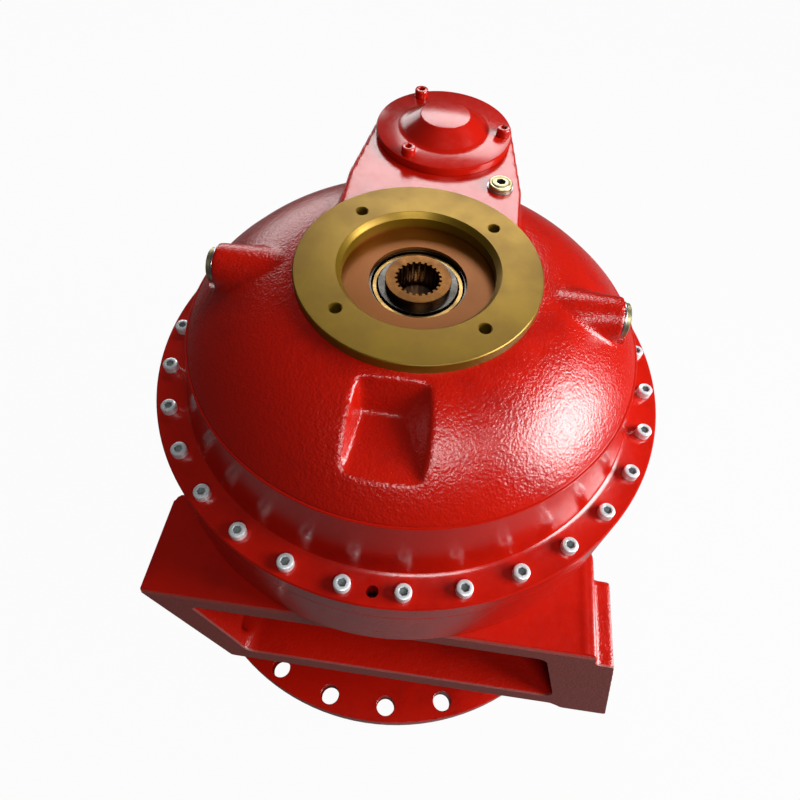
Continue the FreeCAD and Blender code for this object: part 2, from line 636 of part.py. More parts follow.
# Side boss: a round horn on the dome, faced square and tapped for its plug
def make_side_boss(body, side, name):
    outside = f"{side} * Size.side_face"
    inside = f"{side} * (Size.side_face - Size.side_length)"
    face = new_sketch(body, f"boss_face_{name}", "YZ_Plane", outside)
    draw_circle(face, "0", SIDE_HEIGHT, "Size.side_radius")
    root = new_sketch(body, f"boss_root_{name}", "YZ_Plane", inside)
    draw_circle(root, "0", f"{SIDE_HEIGHT} - (Size.side_root - Size.side_radius)", "Size.side_root")
    loft = body.newObject("PartDesign::AdditiveLoft", f"boss_{name}")
    loft.Profile = face
    loft.Sections = [root]
    bore = new_sketch(body, f"boss_bore_{name}", "YZ_Plane", outside)
    draw_circle(bore, "0", SIDE_HEIGHT, "Size.plug_thread + Size.thread_gap")
    depth = f"Size.side_face - ({ring_seat('first')}) + 2 * Size.side_wall"
    raise_pad(body, f"boss_hole_{name}", bore, depth, side < 0, cut=True)
    spot = new_sketch(body, f"boss_spot_{name}", "YZ_Plane", outside)
    draw_circle(spot, "0", SIDE_HEIGHT, "Size.side_radius")
    raise_pad(body, f"boss_spot_face_{name}", spot, "Size.side_radius", side > 0, cut=True)


def drill_cover(body):
    drill_circle(body, "motor_hole", "Size.motor_bolt_square / 2", "Size.motor_bolt_square / 2",
                 "Size.motor_bolt_radius", "Size.motor_face", "Size.motor_bolt_depth", "4")
    drill_circle(body, "screw_hole", SCREW_CIRCLE, "0", "Size.screw_radius + Size.hole_gap",
                 JOINT_TOP, "Size.joint_flange", "Size.screw_count")
    drill_circle(body, "jack_hole", "0", f"-{SCREW_CIRCLE}", "Size.jack_radius",
                 JOINT_TOP, "Size.joint_flange")


# Front recess: a hollow in the dome with a steep back, a flat floor and one slanted end
def make_recess():
    valley = value("Size.motor_face - Size.recess_depth")
    far_up = value("Size.motor_face + Size.recess_depth")
    left = -value("Size.recess_left")
    right = value("Size.recess_right")
    valley_left = -value("Size.recess_valley_left")
    valley_right = value("Size.recess_valley_right")
    middle = -value("Size.recess_valley")
    front_floor = valley - (far_up - valley) * value("Size.recess_fall")
    steep = (-value("Size.recess_top") - middle) * value("Size.recess_steepness")
    low = -value("Size.recess_low + Size.recess_past")
    spread_right = (right - valley_right) * value("Size.recess_spread")
    spread_left = (left - valley_left) * value("Size.recess_spread")
    base_left = FreeCAD.Vector(valley_left, middle, valley)
    base_right = FreeCAD.Vector(valley_right, middle, valley)
    back_left = FreeCAD.Vector(valley_left + spread_left, middle + steep, far_up)
    back_right = FreeCAD.Vector(valley_right + spread_right, middle + steep, far_up)
    front_left = FreeCAD.Vector(valley_left + spread_left / 2, low, front_floor)
    front_right = FreeCAD.Vector(right, low, front_floor)
    top_left = FreeCAD.Vector(valley_left + spread_left, low, far_up)
    top_right = FreeCAD.Vector(valley_right + spread_right, low, far_up)
    corners = [base_left, base_right, back_left, back_right]
    corners += [front_left, front_right, top_left, top_right]
    return hull_of(corners, "recess_form")


# The solid of flat faces that wraps a few corner points
def hull_of(points, label):
    faces = []
    seen = []
    for one, two, three in itertools.combinations(points, 3):
        normal = (two - one).cross(three - one)
        if normal.Length < TINY:
            continue
        normal.normalize()
        heights = [(point - one).dot(normal) for point in points]
        if max(heights) > TINY and min(heights) < -TINY:
            continue
        if max(heights) > TINY:
            normal = -normal
            heights = [-height for height in heights]
        flat = [index for index, height in enumerate(heights) if height > -TINY]
        if flat in seen:
            continue
        seen.append(flat)
        faces.append(flat_face([points[index] for index in flat], normal))
    form = doc.addObject("Part::Feature", label)
    form.Shape = Part.makeSolid(Part.makeShell(faces))
    return form


def flat_face(corners, normal):
    middle = sum(corners, FreeCAD.Vector()) / len(corners)
    across = (corners[0] - middle).normalize()
    up = normal.cross(across)

    def angle_of(spot):
        return math.atan2((spot - middle).dot(up), (spot - middle).dot(across))

    order = sorted(corners, key=angle_of)
    return Part.Face(Part.makePolygon(order + [order[0]]))


cover = cut_out("cover", make_cover(), make_recess())


# Housing: the round band with its foot, the carrier bearing seat and the drum bearing seat
FOOT_LEAN = "tan(Size.foot_tilt * 1 deg)"
CHAMBER_TOP = "Size.carrier_bearing_bottom - Size.bearing_step"
SUMP_TOP = f"{PLACE['third']['gear_low']} - Size.shoulder_depth"


def make_housing():
    body = new_body("housing")
    make_foot(body)
    turn(body, "barrel", [
        ("0", PARTING),
        ("Size.joint_radius", PARTING),
        ("Size.joint_radius", BAND_LOW),
        ("Size.body_radius", BAND_LOW),
        ("Size.body_radius", "Size.body_bottom"),
        ("Size.neck_radius", "Size.neck_top"),
        ("Size.neck_radius", "Size.neck_bottom"),
        ("0", "Size.neck_bottom"),
    ])
    turn(body, "inside_of_housing", [
        ("0", PARTING),
        (ring_seat("third"), PARTING),
        (ring_seat("third"), PLACE["third"]["gear_low"]),
        (f"{ring_seat('third')} - Size.ledge", PLACE["third"]["gear_low"]),
        (f"{ring_seat('third')} - Size.ledge", SUMP_TOP),
        ("Size.sump_radius", f"{SUMP_TOP} - Size.sump_slope"),
        ("Size.carrier_bearing_outer + Size.ledge", f"{CARRIER_BEARING_TOP} + Size.stage_gap"),
        ("Size.carrier_bearing_outer + Size.fit_gap", f"{CARRIER_BEARING_TOP} + Size.stage_gap"),
        ("Size.carrier_bearing_outer + Size.fit_gap", "Size.carrier_bearing_bottom"),
        ("Size.carrier_bearing_outer - Size.bearing_step", "Size.carrier_bearing_bottom"),
        ("Size.carrier_bearing_outer - Size.bearing_step", CHAMBER_TOP),
        ("Size.drum_outer - Size.bearing_step", CHAMBER_TOP),
        ("Size.drum_outer - Size.bearing_step", DRUM_TOP),
        ("Size.drum_outer + Size.fit_gap", DRUM_TOP),
        ("Size.drum_outer + Size.fit_gap", "Size.neck_bottom"),
        ("0", "Size.neck_bottom"),
    ], cut=True)
    drill_circle(body, "tapped_hole", SCREW_CIRCLE, "0", "Size.screw_radius + Size.thread_gap",
                 PARTING, "Size.screw_length - Size.joint_flange + Size.drill_past", "Size.screw_count")
    sketch = new_sketch(body, "keeper_circle_hole", "XY_Plane", "Size.neck_bottom")
    draw_circle(sketch, KEEPER_CIRCLE, "0", "Size.screw_radius + Size.thread_gap")
    depth = "Size.keeper_screw_length - Size.keeper_flange + Size.drill_past"
    hole = raise_pad(body, "keeper_tapped_hole", sketch, depth, downward=True, cut=True)
    repeat_round(body, "keeper_tapped_hole", hole, "Size.keeper_screws")
    return body


CARRIER_BEARING_TOP = "Size.carrier_bearing_bottom + Size.carrier_bearing_width"


# Foot: a box bracket with a slanted left wall, a side pad on the right and a leaning face
def make_foot(body):
    sketch = new_sketch(body, "foot_outline", "XZ_Plane", "Size.foot_back")
    base = f"{BAND_LOW} - Size.foot_drop"
    pad_step = f"{BAND_LOW} - Size.pad_step"
    draw_outline(sketch, [
        ("-Size.foot_left", BAND_LOW),
        ("Size.foot_right", BAND_LOW),
        ("Size.foot_right + Size.pad_ease", pad_step),
        ("Size.pad_top", pad_step),
        ("Size.pad_low", f"{BAND_LOW} - Size.pad_base"),
        ("Size.pad_inner", f"{BAND_LOW} - Size.pad_base"),
        ("Size.pad_inner - Size.pad_step", base),
        ("-Size.foot_left_low", base),
    ])
    raise_pad(body, "foot", sketch, FOOT_REACH)
    sketch = new_sketch(body, "window_outline", "XZ_Plane", "Size.foot_back")
    top = f"{BAND_LOW} - Size.foot_plate"
    low = f"{base} + Size.foot_base"
    lower_left = f"-Size.window_left_low - Size.window_round * {WINDOW_LEAN}"
    draw_outline(sketch, [
        ("-Size.window_left", top),
        ("Size.window_right - Size.window_round", top, "Size.window_round"),
        ("Size.window_right", f"{top} - Size.window_round"),
        ("Size.window_right_low", f"{low} + Size.window_round", "Size.window_round"),
        ("Size.window_right_low - Size.window_round", low),
        ("-Size.window_left_low + Size.window_round", low, "Size.window_low_round"),
        (lower_left, f"{low} + Size.window_round"),
    ])
    raise_pad(body, "window", sketch, FOOT_REACH, cut=True, downward=True)
    lean_face(body)
    clear_behind_pad(body, pad_step)
    round_wing(body)
    drill_slot(body)


FOOT_REACH = "Size.foot_face - Size.foot_back + Size.foot_drop"
WINDOW_HEIGHT = "(Size.foot_drop - Size.foot_plate - Size.foot_base)"
WINDOW_LEAN = f"(Size.window_left - Size.window_left_low) / {WINDOW_HEIGHT}"


# The mounting face leans so that its lower edge stands further out; its upper edge is chamfered
def lean_face(body):
    sketch = new_sketch(body, "leaning_cut", "YZ_Plane", "-Size.pad_low")
    above = f"{BAND_LOW} + Size.foot_plate"
    below = f"{BAND_LOW} - Size.pad_base - Size.foot_plate"
    far = f"-Size.foot_back - ({FOOT_REACH}) - Size.foot_plate"
    draw_outline(sketch, [
        ("-Size.foot_face + Size.foot_edge + Size.foot_plate", above),
        (f"-Size.foot_face - Size.foot_edge * {FOOT_LEAN}", f"{BAND_LOW} - Size.foot_edge"),
        (f"-Size.foot_face - (Size.pad_base + Size.foot_plate) * {FOOT_LEAN}", below),
        (far, below),
        (far, above),
    ])
    raise_pad(body, "leaning_face", sketch, "2 * Size.pad_low", downward=True, cut=True)


def clear_behind_pad(body, pad_step):
    sketch = new_sketch(body, "pad_back_outline", "XY_Plane", f"{BAND_LOW} + 1")
    draw_outline(sketch, [
        ("Size.foot_right + Size.pad_ease", "-Size.foot_back + 1"),
        ("Size.pad_low + 1", "-Size.foot_back + 1"),
        ("Size.pad_low + 1", "-Size.pad_back"),
        ("Size.foot_right + Size.pad_ease", "-Size.pad_back"),
    ])
    raise_pad(body, "pad_back", sketch, "Size.pad_base + 2", cut=True)


def round_wing(body):
    sketch = new_sketch(body, "wing_corner_outline", "XY_Plane", f"{BAND_LOW} + 1")
    draw_outline(sketch, [
        ("-Size.foot_left", "-Size.foot_back - Size.wing_round", "-Size.wing_round"),
        ("-Size.foot_left + Size.wing_round", "-Size.foot_back"),
        ("-Size.foot_left + Size.wing_round", "-Size.foot_back + 1"),
        ("-Size.foot_left - 1", "-Size.foot_back + 1"),
        ("-Size.foot_left - 1", "-Size.foot_back - Size.wing_round"),
    ])
    raise_pad(body, "wing_corner", sketch, "Size.foot_drop", cut=True)


# An arc of exactly half a turn has no side to bulge to, so it is drawn a hair flatter
NEARLY_ROUND = 1.001


# Oblong hole through the slanted wall, drilled sideways
def drill_slot(body):
    sketch = new_sketch(body, "slot_outline", "YZ_Plane", "-Size.foot_left")
    front = "-Size.foot_face + Size.slot_front"
    rear = f"{front} + Size.slot_length - Size.slot_width"
    half = "Size.slot_width / 2"
    draw_outline(sketch, [
        (front, f"Size.slot_height - {half}"),
        (rear, f"Size.slot_height - {half}", f"-{half} * {NEARLY_ROUND}"),
        (rear, f"Size.slot_height + {half}"),
        (front, f"Size.slot_height + {half}", f"-{half} * {NEARLY_ROUND}"),
    ])
    reach = "Size.foot_left - Size.window_left_low + Size.foot_plate"
    raise_pad(body, "slot", sketch, reach, downward=True, cut=True)


# Screws: one cap screw is drawn once and repeated round its circle
def cap_screw(name, across, back, seat, length, upside_down=False):
    head_low = f"{seat} - Size.screw_head" if upside_down else seat
    shank_low = seat if upside_down else f"{seat} - {length}"
    head_sizes = {"Radius": "Size.screw_head_radius", "Height": "Size.screw_head"}
    shank_sizes = {"Radius": "Size.screw_radius", "Height": length}
    head = primitive("Part::Cylinder", f"{name}_head", head_sizes, (across, back, head_low))
    shank = primitive("Part::Cylinder", f"{name}_shank", shank_sizes, (across, back, shank_low))
    return joined(f"{name}_form", [head, shank])


def screw_set(label, across, back, seat, length, count, centre_back="0", phase=0.0, upside_down=False):
    form = cap_screw(label, across, back, seat, length, upside_down)
    doc.recompute()
    return ring_of_copies(label, form.Shape, int(value(count)), phase, (0.0, value(centre_back)))


# Plugs with a collar, a thread and a hexagon socket, each on a sealing washer
def plug_outline(collar, thread):
    return [
        ("0", "-Size.plug_depth"),
        (thread, "-Size.plug_depth"),
        (thread, "Size.washer"),
        (collar, "Size.washer"),
        (collar, "Size.washer + Size.plug_head"),
        ("0", "Size.washer + Size.plug_head"),
    ]


def make_plug(label, collar, thread, socket, place, turned):
    body = new_body(label)
    turn(body, f"{label}_turn", plug_outline(collar, thread))
    sketch = new_sketch(body, f"{label}_hexagon", "XY_Plane", "Size.washer + Size.plug_head")
    corners = []
    corner_radius = f"{socket} / cos(30 deg)"
    for index in range(6):
        corners.append((f"{corner_radius} * cos({60 * index} deg)",
                        f"{corner_radius} * sin({60 * index} deg)"))
    draw_outline(sketch, corners)
    raise_pad(body, f"{label}_socket", sketch, "Size.plug_head + Size.washer", cut=True)
    body.Placement.Rotation = turned
    for axis, expression in zip("xyz", place):
        body.setExpression(f"Placement.Base.{axis}", expression)
    return body


def make_washer(label, collar, thread, place, turned):
    rim_sizes = {"Radius": f"{collar} + Size.washer_over", "Height": "Size.washer"}
    bore_sizes = {"Radius": f"{thread} + Size.thread_gap", "Height": "Size.washer"}
    outer = primitive("Part::Cylinder", f"{label}_outer", rim_sizes)
    inner = primitive("Part::Cylinder", f"{label}_inner", bore_sizes)
    washer = cut_out(label, outer, inner)
    washer.Placement.Rotation = turned
    for axis, expression in zip("xyz", place):
        washer.setExpression(f"Placement.Base.{axis}", expression)
    return washer


UPRIGHT = FreeCAD.Rotation()
TO_RIGHT = FreeCAD.Rotation(FreeCAD.Vector(0, 1, 0), 90)
TO_LEFT = FreeCAD.Rotation(FreeCAD.Vector(0, 1, 0), -90)


# Plain ball bearing: two grooved rings, a set of balls and the cage between them
def make_ball_bearing(name, bore, outer, width, low, ball, count):
    middle = f"({low} + {width} / 2)"
    pitch = f"(({bore} + {outer}) / 2)"
    groove = f"({ball} + Size.roller_gap / 2)"
    land = f"({ball} * Size.ball_land)"
    dip = f"sqrt({groove} ^ 2 - {land} ^ 2)"
    inner = turned_body(f"{name}_inner_ring", [
        (bore, low),
        (bore, f"{low} + {width}"),
        (f"{pitch} - {land}", f"{low} + {width}"),
        (f"{pitch} - {land}", f"{middle} + {dip}", f"-{groove}"),
        (f"{pitch} - {land}", f"{middle} - {dip}"),
        (f"{pitch} - {land}", low),
    ])
    outside = turned_body(f"{name}_outer_ring", [
        (f"{pitch} + {land}", low),
        (f"{pitch} + {land}", f"{middle} - {dip}", f"-{groove}"),
        (f"{pitch} + {land}", f"{middle} + {dip}"),
        (f"{pitch} + {land}", f"{low} + {width}"),
        (outer, f"{low} + {width}"),
        (outer, low),
    ])
    sphere = Part.makeSphere(value(ball), FreeCAD.Vector(value(pitch), 0, value(middle)))
    balls = ring_of_copies(f"{name}_balls", sphere, int(value(count)))
    wall = value(f"{ball} * Size.ball_cage_wall")
    half = value(f"{ball} * Size.ball_cage_half")
    foot = FreeCAD.Vector(0, 0, value(middle) - half)
    cage = Part.makeCylinder(value(pitch) + wall, 2 * half, foot)
    cage = cage.cut(Part.makeCylinder(value(pitch) - wall, 2 * half, foot))
    room = Part.makeCylinder(value(f"{ball} + Size.roller_gap"), value(outer),
                             FreeCAD.Vector(0, 0, value(middle)), FreeCAD.Vector(1, 0, 0))
    rooms = []
    for index in range(int(value(count))):
        hole = room.copy()
        hole.rotate(FreeCAD.Vector(), FreeCAD.Vector(0, 0, 1), 360.0 * index / int(value(count)))
        rooms.append(hole)
    return inner, outside, balls, cage.cut(rooms)


# Gears: flat-sided teeth with backlash, each tooth drawn once and repeated round the axis
def draw_tooth(body, name, top, corners, face, count):
    sketch = new_sketch(body, f"{name}_tooth_outline", "XY_Plane", top)
    draw_outline(sketch, corners)
    tooth = raise_pad(body, f"{name}_tooth", sketch, face, downward=True)
    repeat_round(body, f"{name}_tooth", tooth, count)


# An outer tooth keeps one width up to its pitch circle, which leaves the mating tips room
def outer_tooth(stage, teeth, gap="0"):
    pitch = f"{module(stage)} * {teeth} / 2"
    root = f"{pitch} - Size.dedendum * {module(stage)}"
    tip = f"{pitch} + Size.addendum * {module(stage)} + {gap}"
    wide = tooth_half(stage, "0", gap)
    narrow = tooth_half(stage, "Size.addendum", gap)
    side = [(f"{root} - Size.tooth_sink", wide), (pitch, wide), (tip, narrow)]
    return root, mirrored(side)


def make_sun(stage, top):
    label = f"sun_gear_{STAGES.index(stage) + 1}"
    body = new_body(label)
    root, corners = outer_tooth(stage, "Size.sun_teeth")
    low = PLACE[stage]["gear_low"]
    turn(body, f"{label}_core", [("0", low), (root, low), (root, top), ("0", top)])
    draw_tooth(body, label, top, corners, f"{top} - ({low})", "Size.sun_teeth")
    return body


def make_planets(stage):
    number = STAGES.index(stage) + 1
    label = f"planet_gear_{number}a"
    body = new_body(label)
    root, corners = outer_tooth(stage, "Size.planet_teeth")
    bore = f"{pin_radius(stage)} + Size.fit_gap"
    low, top = PLACE[stage]["gear_low"], PLACE[stage]["gear_top"]
    turn(body, f"{label}_core", [(bore, low), (root, low), (root, top), (bore, top)])
    draw_tooth(body, label, top, corners, f"Size.face_{stage}", "Size.planet_teeth")
    body.setExpression("Placement.Base.y", centre_distance(stage))
    doc.recompute()
    made = [body]
    for letter, angle in (("b", 120), ("c", 240)):
        copy = doc.addObject("Part::Feature", f"planet_gear_{number}{letter}")
        copy.Label = copy.Name
        copy.Shape = body.Shape
        round_axis = FreeCAD.Rotation(FreeCAD.Vector(0, 0, 1), angle)
        copy.Placement = FreeCAD.Placement(FreeCAD.Vector(), round_axis).multiply(body.Placement)
        made.append(copy)
    return made


def make_ring_gear(stage):
    label = f"ring_gear_{STAGES.index(stage) + 1}"
    body = new_body(label)
    low, top = PLACE[stage]["gear_low"], PLACE[stage]["gear_top"]
    pitch = ring_pitch(stage)
    root = f"{pitch} + Size.dedendum * {module(stage)}"
    tip = f"{pitch} - Size.addendum * {module(stage)}"
    outer = f"{ring_seat(stage)} - Size.fit_gap"
    turn(body, f"{label}_rim", [(root, low), (outer, low), (outer, top), (root, top)])
    corners = tooth_corners(tip, tooth_half(stage, "Size.addendum"),
                            f"{root} + Size.tooth_sink", tooth_half(stage, "-Size.dedendum"))
    count = "Size.sun_teeth + 2 * Size.planet_teeth"
    draw_tooth(body, label, top, corners, f"Size.face_{stage}", count)
    return body


# Carrier: a drum cut open for its three planets, with an upper cheek and a lower plate
def make_carrier(stage, follower):
    number = STAGES.index(stage) + 1
    label = f"carrier_{number}"
    body = new_body(label)
    place = PLACE[stage]
    outer = f"{centre_distance(stage)} + {pin_radius(stage)} + {module(stage)} * Size.carrier_rim"
    opening = f"{sun_tip(stage)} + Size.carrier_gap"
    corners = carrier_corners(place, outer, opening)
    if follower is None:
        corners += output_shaft_corners(place)
    else:
        bore = f"{outer_tooth(follower, 'Size.sun_teeth')[0]} + Size.spline_gap"
        corners += [(bore, place["plate_low"]), (bore, place["plate_top"])]
    turn(body, f"{label}_drum", corners)
    sketch = new_sketch(body, f"{label}_planet_room", "XY_Plane", f"{place['gear_top']} + Size.stage_gap")
    room = f"{module(stage)} * (Size.planet_teeth / 2 + Size.addendum) + Size.carrier_gap"
    draw_circle(sketch, "0", centre_distance(stage), room)
    height = f"Size.face_{stage} + 2 * Size.stage_gap"
    window = raise_pad(body, f"{label}_window", sketch, height, cut=True)
    repeat_round(body, f"{label}_window", window, "3")
    pin = pin_radius(stage)
    drill_circle(body, f"{label}_pin_hole", "0", centre_distance(stage), f"{pin} + Size.fit_gap",
                 place["top"], f"({place['top']}) - ({place['plate_low']})", "3")
    if follower is not None:
        cut_spline(body, label, follower, place)
    return body


def carrier_corners(place, outer, opening):
    return [
        (opening, place["plate_top"]),
        (opening, place["top"]),
        (outer, place["top"]),
        (outer, place["plate_low"]),
    ]


# The next sun's teeth run up into the plate of the carrier that drives it
def cut_spline(body, label, follower, place):
    sketch = new_sketch(body, f"{label}_spline_outline", "XY_Plane", place["plate_top"])
    draw_outline(sketch, outer_tooth(follower, "Size.sun_teeth", "Size.spline_gap")[1])
    depth = f"({place['plate_top']}) - ({place['plate_low']})"
    space = raise_pad(body, f"{label}_spline", sketch, depth, cut=True)
    repeat_round(body, f"{label}_spline", space, "Size.sun_teeth")


# Output shaft of the last carrier, down to the short teeth at the swivel centre
def output_shaft_corners(place):
    seat = "Size.carrier_bearing_inner - Size.fit_gap"
    pocket = "Size.centre_ball + Size.ball_room"
    cup = "Size.centre_ball + Size.cup_gap"
    return [
        (f"{seat} + Size.bearing_step", place["plate_low"]),
        (f"{seat} + Size.bearing_step", CARRIER_BEARING_TOP),
        (seat, CARRIER_BEARING_TOP),
        (seat, "Size.carrier_bearing_bottom"),
        ("Size.coupling_neck", "Size.carrier_bearing_bottom"),
        ("Size.coupling_neck", f"{SWIVEL} + Size.coupling_half"),
        (COUPLING_CORE, f"{SWIVEL} + Size.coupling_half"),
        (COUPLING_CORE, f"{SWIVEL} - Size.coupling_half"),
        (pocket, f"{SWIVEL} - Size.coupling_half"),
        (pocket, SWIVEL),
        (cup, SWIVEL, f"-({cup})"),
        ("0", f"{SWIVEL} + {cup}"),
        ("0", place["plate_top"]),
    ]


COUPLING_CORE = "Size.coupling_radius - Size.coupling_height"
COUPLING_TIP = "Size.coupling_radius + Size.coupling_height"


def add_coupling_teeth(body):
    half = f"{COUPLING_STEP} / 4 - Size.coupling_gap / 2"
    sketch = new_sketch(body, "coupling_tooth_outline", "XY_Plane", f"{SWIVEL} + Size.coupling_half")
    draw_outline(sketch, tooth_corners(f"{COUPLING_CORE} - Size.tooth_sink", half, COUPLING_TIP, half))
    tooth = raise_pad(body, "coupling_tooth", sketch, "2 * Size.coupling_half", downward=True)
    repeat_round(body, "coupling_tooth", tooth, "Size.coupling_teeth")


COUPLING_STEP = "2 * pi * Size.coupling_radius / Size.coupling_teeth"


def make_pins(stage):
    number = STAGES.index(stage) + 1
    place = PLACE[stage]
    length = value(f"({place['top']}) - ({place['plate_low']})")
    pin = Part.makeCylinder(value(pin_radius(stage)), length,
                            FreeCAD.Vector(0, value(centre_distance(stage)), value(place["plate_low"])))
    return ring_of_copies(f"planet_pins_{number}", pin, 3)


# Input hub: it passes through the input bearing and takes the motor shaft in its spline
def make_input_hub():
    body = new_body("input_hub")
    top = "Size.motor_face - Size.hub_top_drop"
    low = f"{PLACE['first']['top']} - Size.cheek_first + Size.stage_gap"
    spline_low = f"{INPUT_LOW} + Size.spline_relief"
    relief = "Size.spline_major + Size.relief_depth"
    turn(body, "input_hub_turn", [
        ("Size.spline_minor", top),
        ("Size.spline_minor", spline_low),
        (relief, spline_low),
        (relief, INPUT_LOW),
        ("Size.hub_bore", INPUT_LOW),
        ("Size.hub_bore", low),
        ("Size.hub_shoulder", low),
        ("Size.hub_shoulder", INPUT_LOW),
        ("Size.input_inner - Size.fit_gap", INPUT_LOW),
        ("Size.input_inner - Size.fit_gap", INPUT_TOP),
        ("Size.hub_radius - Size.stage_gap", top),
    ])
    sketch = new_sketch(body, "input_spline_outline", "XY_Plane", top)
    half = "pi * Size.spline_minor / Size.spline_teeth / 2"
    draw_outline(sketch, tooth_corners("Size.spline_minor * Size.spline_open", half,
                                       "Size.spline_major", f"{half} * Size.spline_taper"))
    space = raise_pad(body, "input_spline", sketch, f"{top} - ({spline_low})", cut=True)
    repeat_round(body, "input_spline", space, "Size.spline_teeth")
    return body


# Drum bearing: two rows of barrel rollers that run in one hollow sphere
ROLLER_PATH = "(Size.sphere_radius - Size.roller_radius - Size.roller_gap)"
ROLLER_LEAN = f"asin(Size.roller_offset / {ROLLER_PATH})"
RACE_HALF = "(Size.roller_length / 2 + Size.stage_gap)"


def make_drum_outer_ring():
    edge = "sqrt(Size.sphere_radius ^ 2 - (Size.drum_width / 2) ^ 2)"
    return turned_body("drum_bearing_outer_ring", [
        (edge, DRUM_LOW),
        ("Size.drum_outer", DRUM_LOW),
        ("Size.drum_outer", DRUM_TOP),
        (edge, DRUM_TOP, "Size.sphere_radius"),
    ])


# A raceway's end on the inner ring: upper or lower row, far or near end of the roller
def raceway_point(row, end):
    crown = f"{RACE_HALF} ^ 2 / Size.sphere_radius / 2"
    depth = f"({ROLLER_PATH} - Size.roller_radius - Size.roller_gap + {crown})"
    across = f"{depth} * cos({ROLLER_LEAN}) - {end} * {RACE_HALF} * sin({ROLLER_LEAN})"
    rise = f"{row} * ({depth} * sin({ROLLER_LEAN}) + {end} * {RACE_HALF} * cos({ROLLER_LEAN}))"
    return across, f"{SWIVEL} + {rise}"


def make_drum_inner_ring():
    collar = "Size.drum_inner + Size.bearing_step + Size.nut_step"
    return turned_body("drum_bearing_inner_ring", [
        ("Size.drum_inner", DRUM_LOW),
        (collar, DRUM_LOW),
        raceway_point(-1, 1) + ("Size.sphere_radius",),
        raceway_point(-1, -1),
        raceway_point(1, -1) + ("Size.sphere_radius",),
        raceway_point(1, 1),
        (collar, DRUM_TOP),
        ("Size.drum_inner", DRUM_TOP),
    ])


def make_rollers():
    half = value("Size.roller_length") / 2
    radius = value("Size.roller_radius")
    end = radius - half ** 2 / value("Size.sphere_radius") / 2
    top = FreeCAD.Vector(end, 0, half)
    low = FreeCAD.Vector(end, 0, -half)
    side = Part.Arc(low, FreeCAD.Vector(radius, 0, 0), top).toShape()
    foot = Part.makePolygon([top, FreeCAD.Vector(0, 0, half), FreeCAD.Vector(0, 0, -half), low])
    section = Part.Face(Part.Wire([side] + foot.Edges))
    barrel = section.revolve(FreeCAD.Vector(), FreeCAD.Vector(0, 0, 1), 360)
    lean = value(ROLLER_LEAN)
    path = value(ROLLER_PATH)
    out = path * math.cos(math.radians(lean))
    rollers = []
    for row in (1, -1):
        height = value(SWIVEL) + row * path * math.sin(math.radians(lean))
        roller = barrel.copy()
        roller.rotate(FreeCAD.Vector(), FreeCAD.Vector(0, 1, 0), -row * lean)
        roller.translate(FreeCAD.Vector(out, 0, height))
        rollers.append(roller)
    count = int(value("Size.roller_count"))
    return ring_of_copies("drum_bearing_rollers", Part.makeCompound(rollers), count)


def make_drum_cage():
    body = turned_body("drum_bearing_cage", [
        ("Size.cage_inner", f"{SWIVEL} - Size.cage_half"),
        ("Size.cage_outer", f"{SWIVEL} - Size.cage_half"),
        ("Size.cage_outer", f"{SWIVEL} + Size.cage_half"),
        ("Size.cage_inner", f"{SWIVEL} + Size.cage_half"),
    ])
    sketch = new_sketch(body, "cage_bar_outline", "XY_Plane", f"{SWIVEL} + Size.cage_reach")
    near = "Size.cage_inner + Size.cage_inset"
    far = "Size.cage_outer - Size.cage_inset"
    corners = []
    for across, back in ((near, -1), (far, -1), (far, 1), (near, 1)):
        corners.append((across, f"{back} * Size.cage_bar / 2"))
    draw_outline(sketch, corners)
    bar = raise_pad(body, "cage_bar", sketch, "2 * Size.cage_reach", downward=True)
    repeat_round(body, "cage_bar", bar, "Size.roller_count")
    turn_half_step(body, "Size.roller_count")
    return body


# Turns a body so that what is repeated in it stands halfway between its old places
def turn_half_step(body, count):
    body.Placement.Rotation = FreeCAD.Rotation(FreeCAD.Vector(0, 0, 1), 180 / value(count))


# Drum flange: flange, hub, spherical seal face, bearing seat and the coupling's outer teeth.
# The hub is turned so that each tooth of the output shaft stands in a space of the hub.
def sphere_across(radius, drop):
    return f"sqrt(({radius}) ^ 2 - ({drop}) ^ 2)"


END_TOP = f"{SWIVEL} - Size.end_drop"
END_LOW = f"{END_TOP} - Size.end_plate"
BEARING_SEAT = "Size.drum_inner - Size.fit_gap"


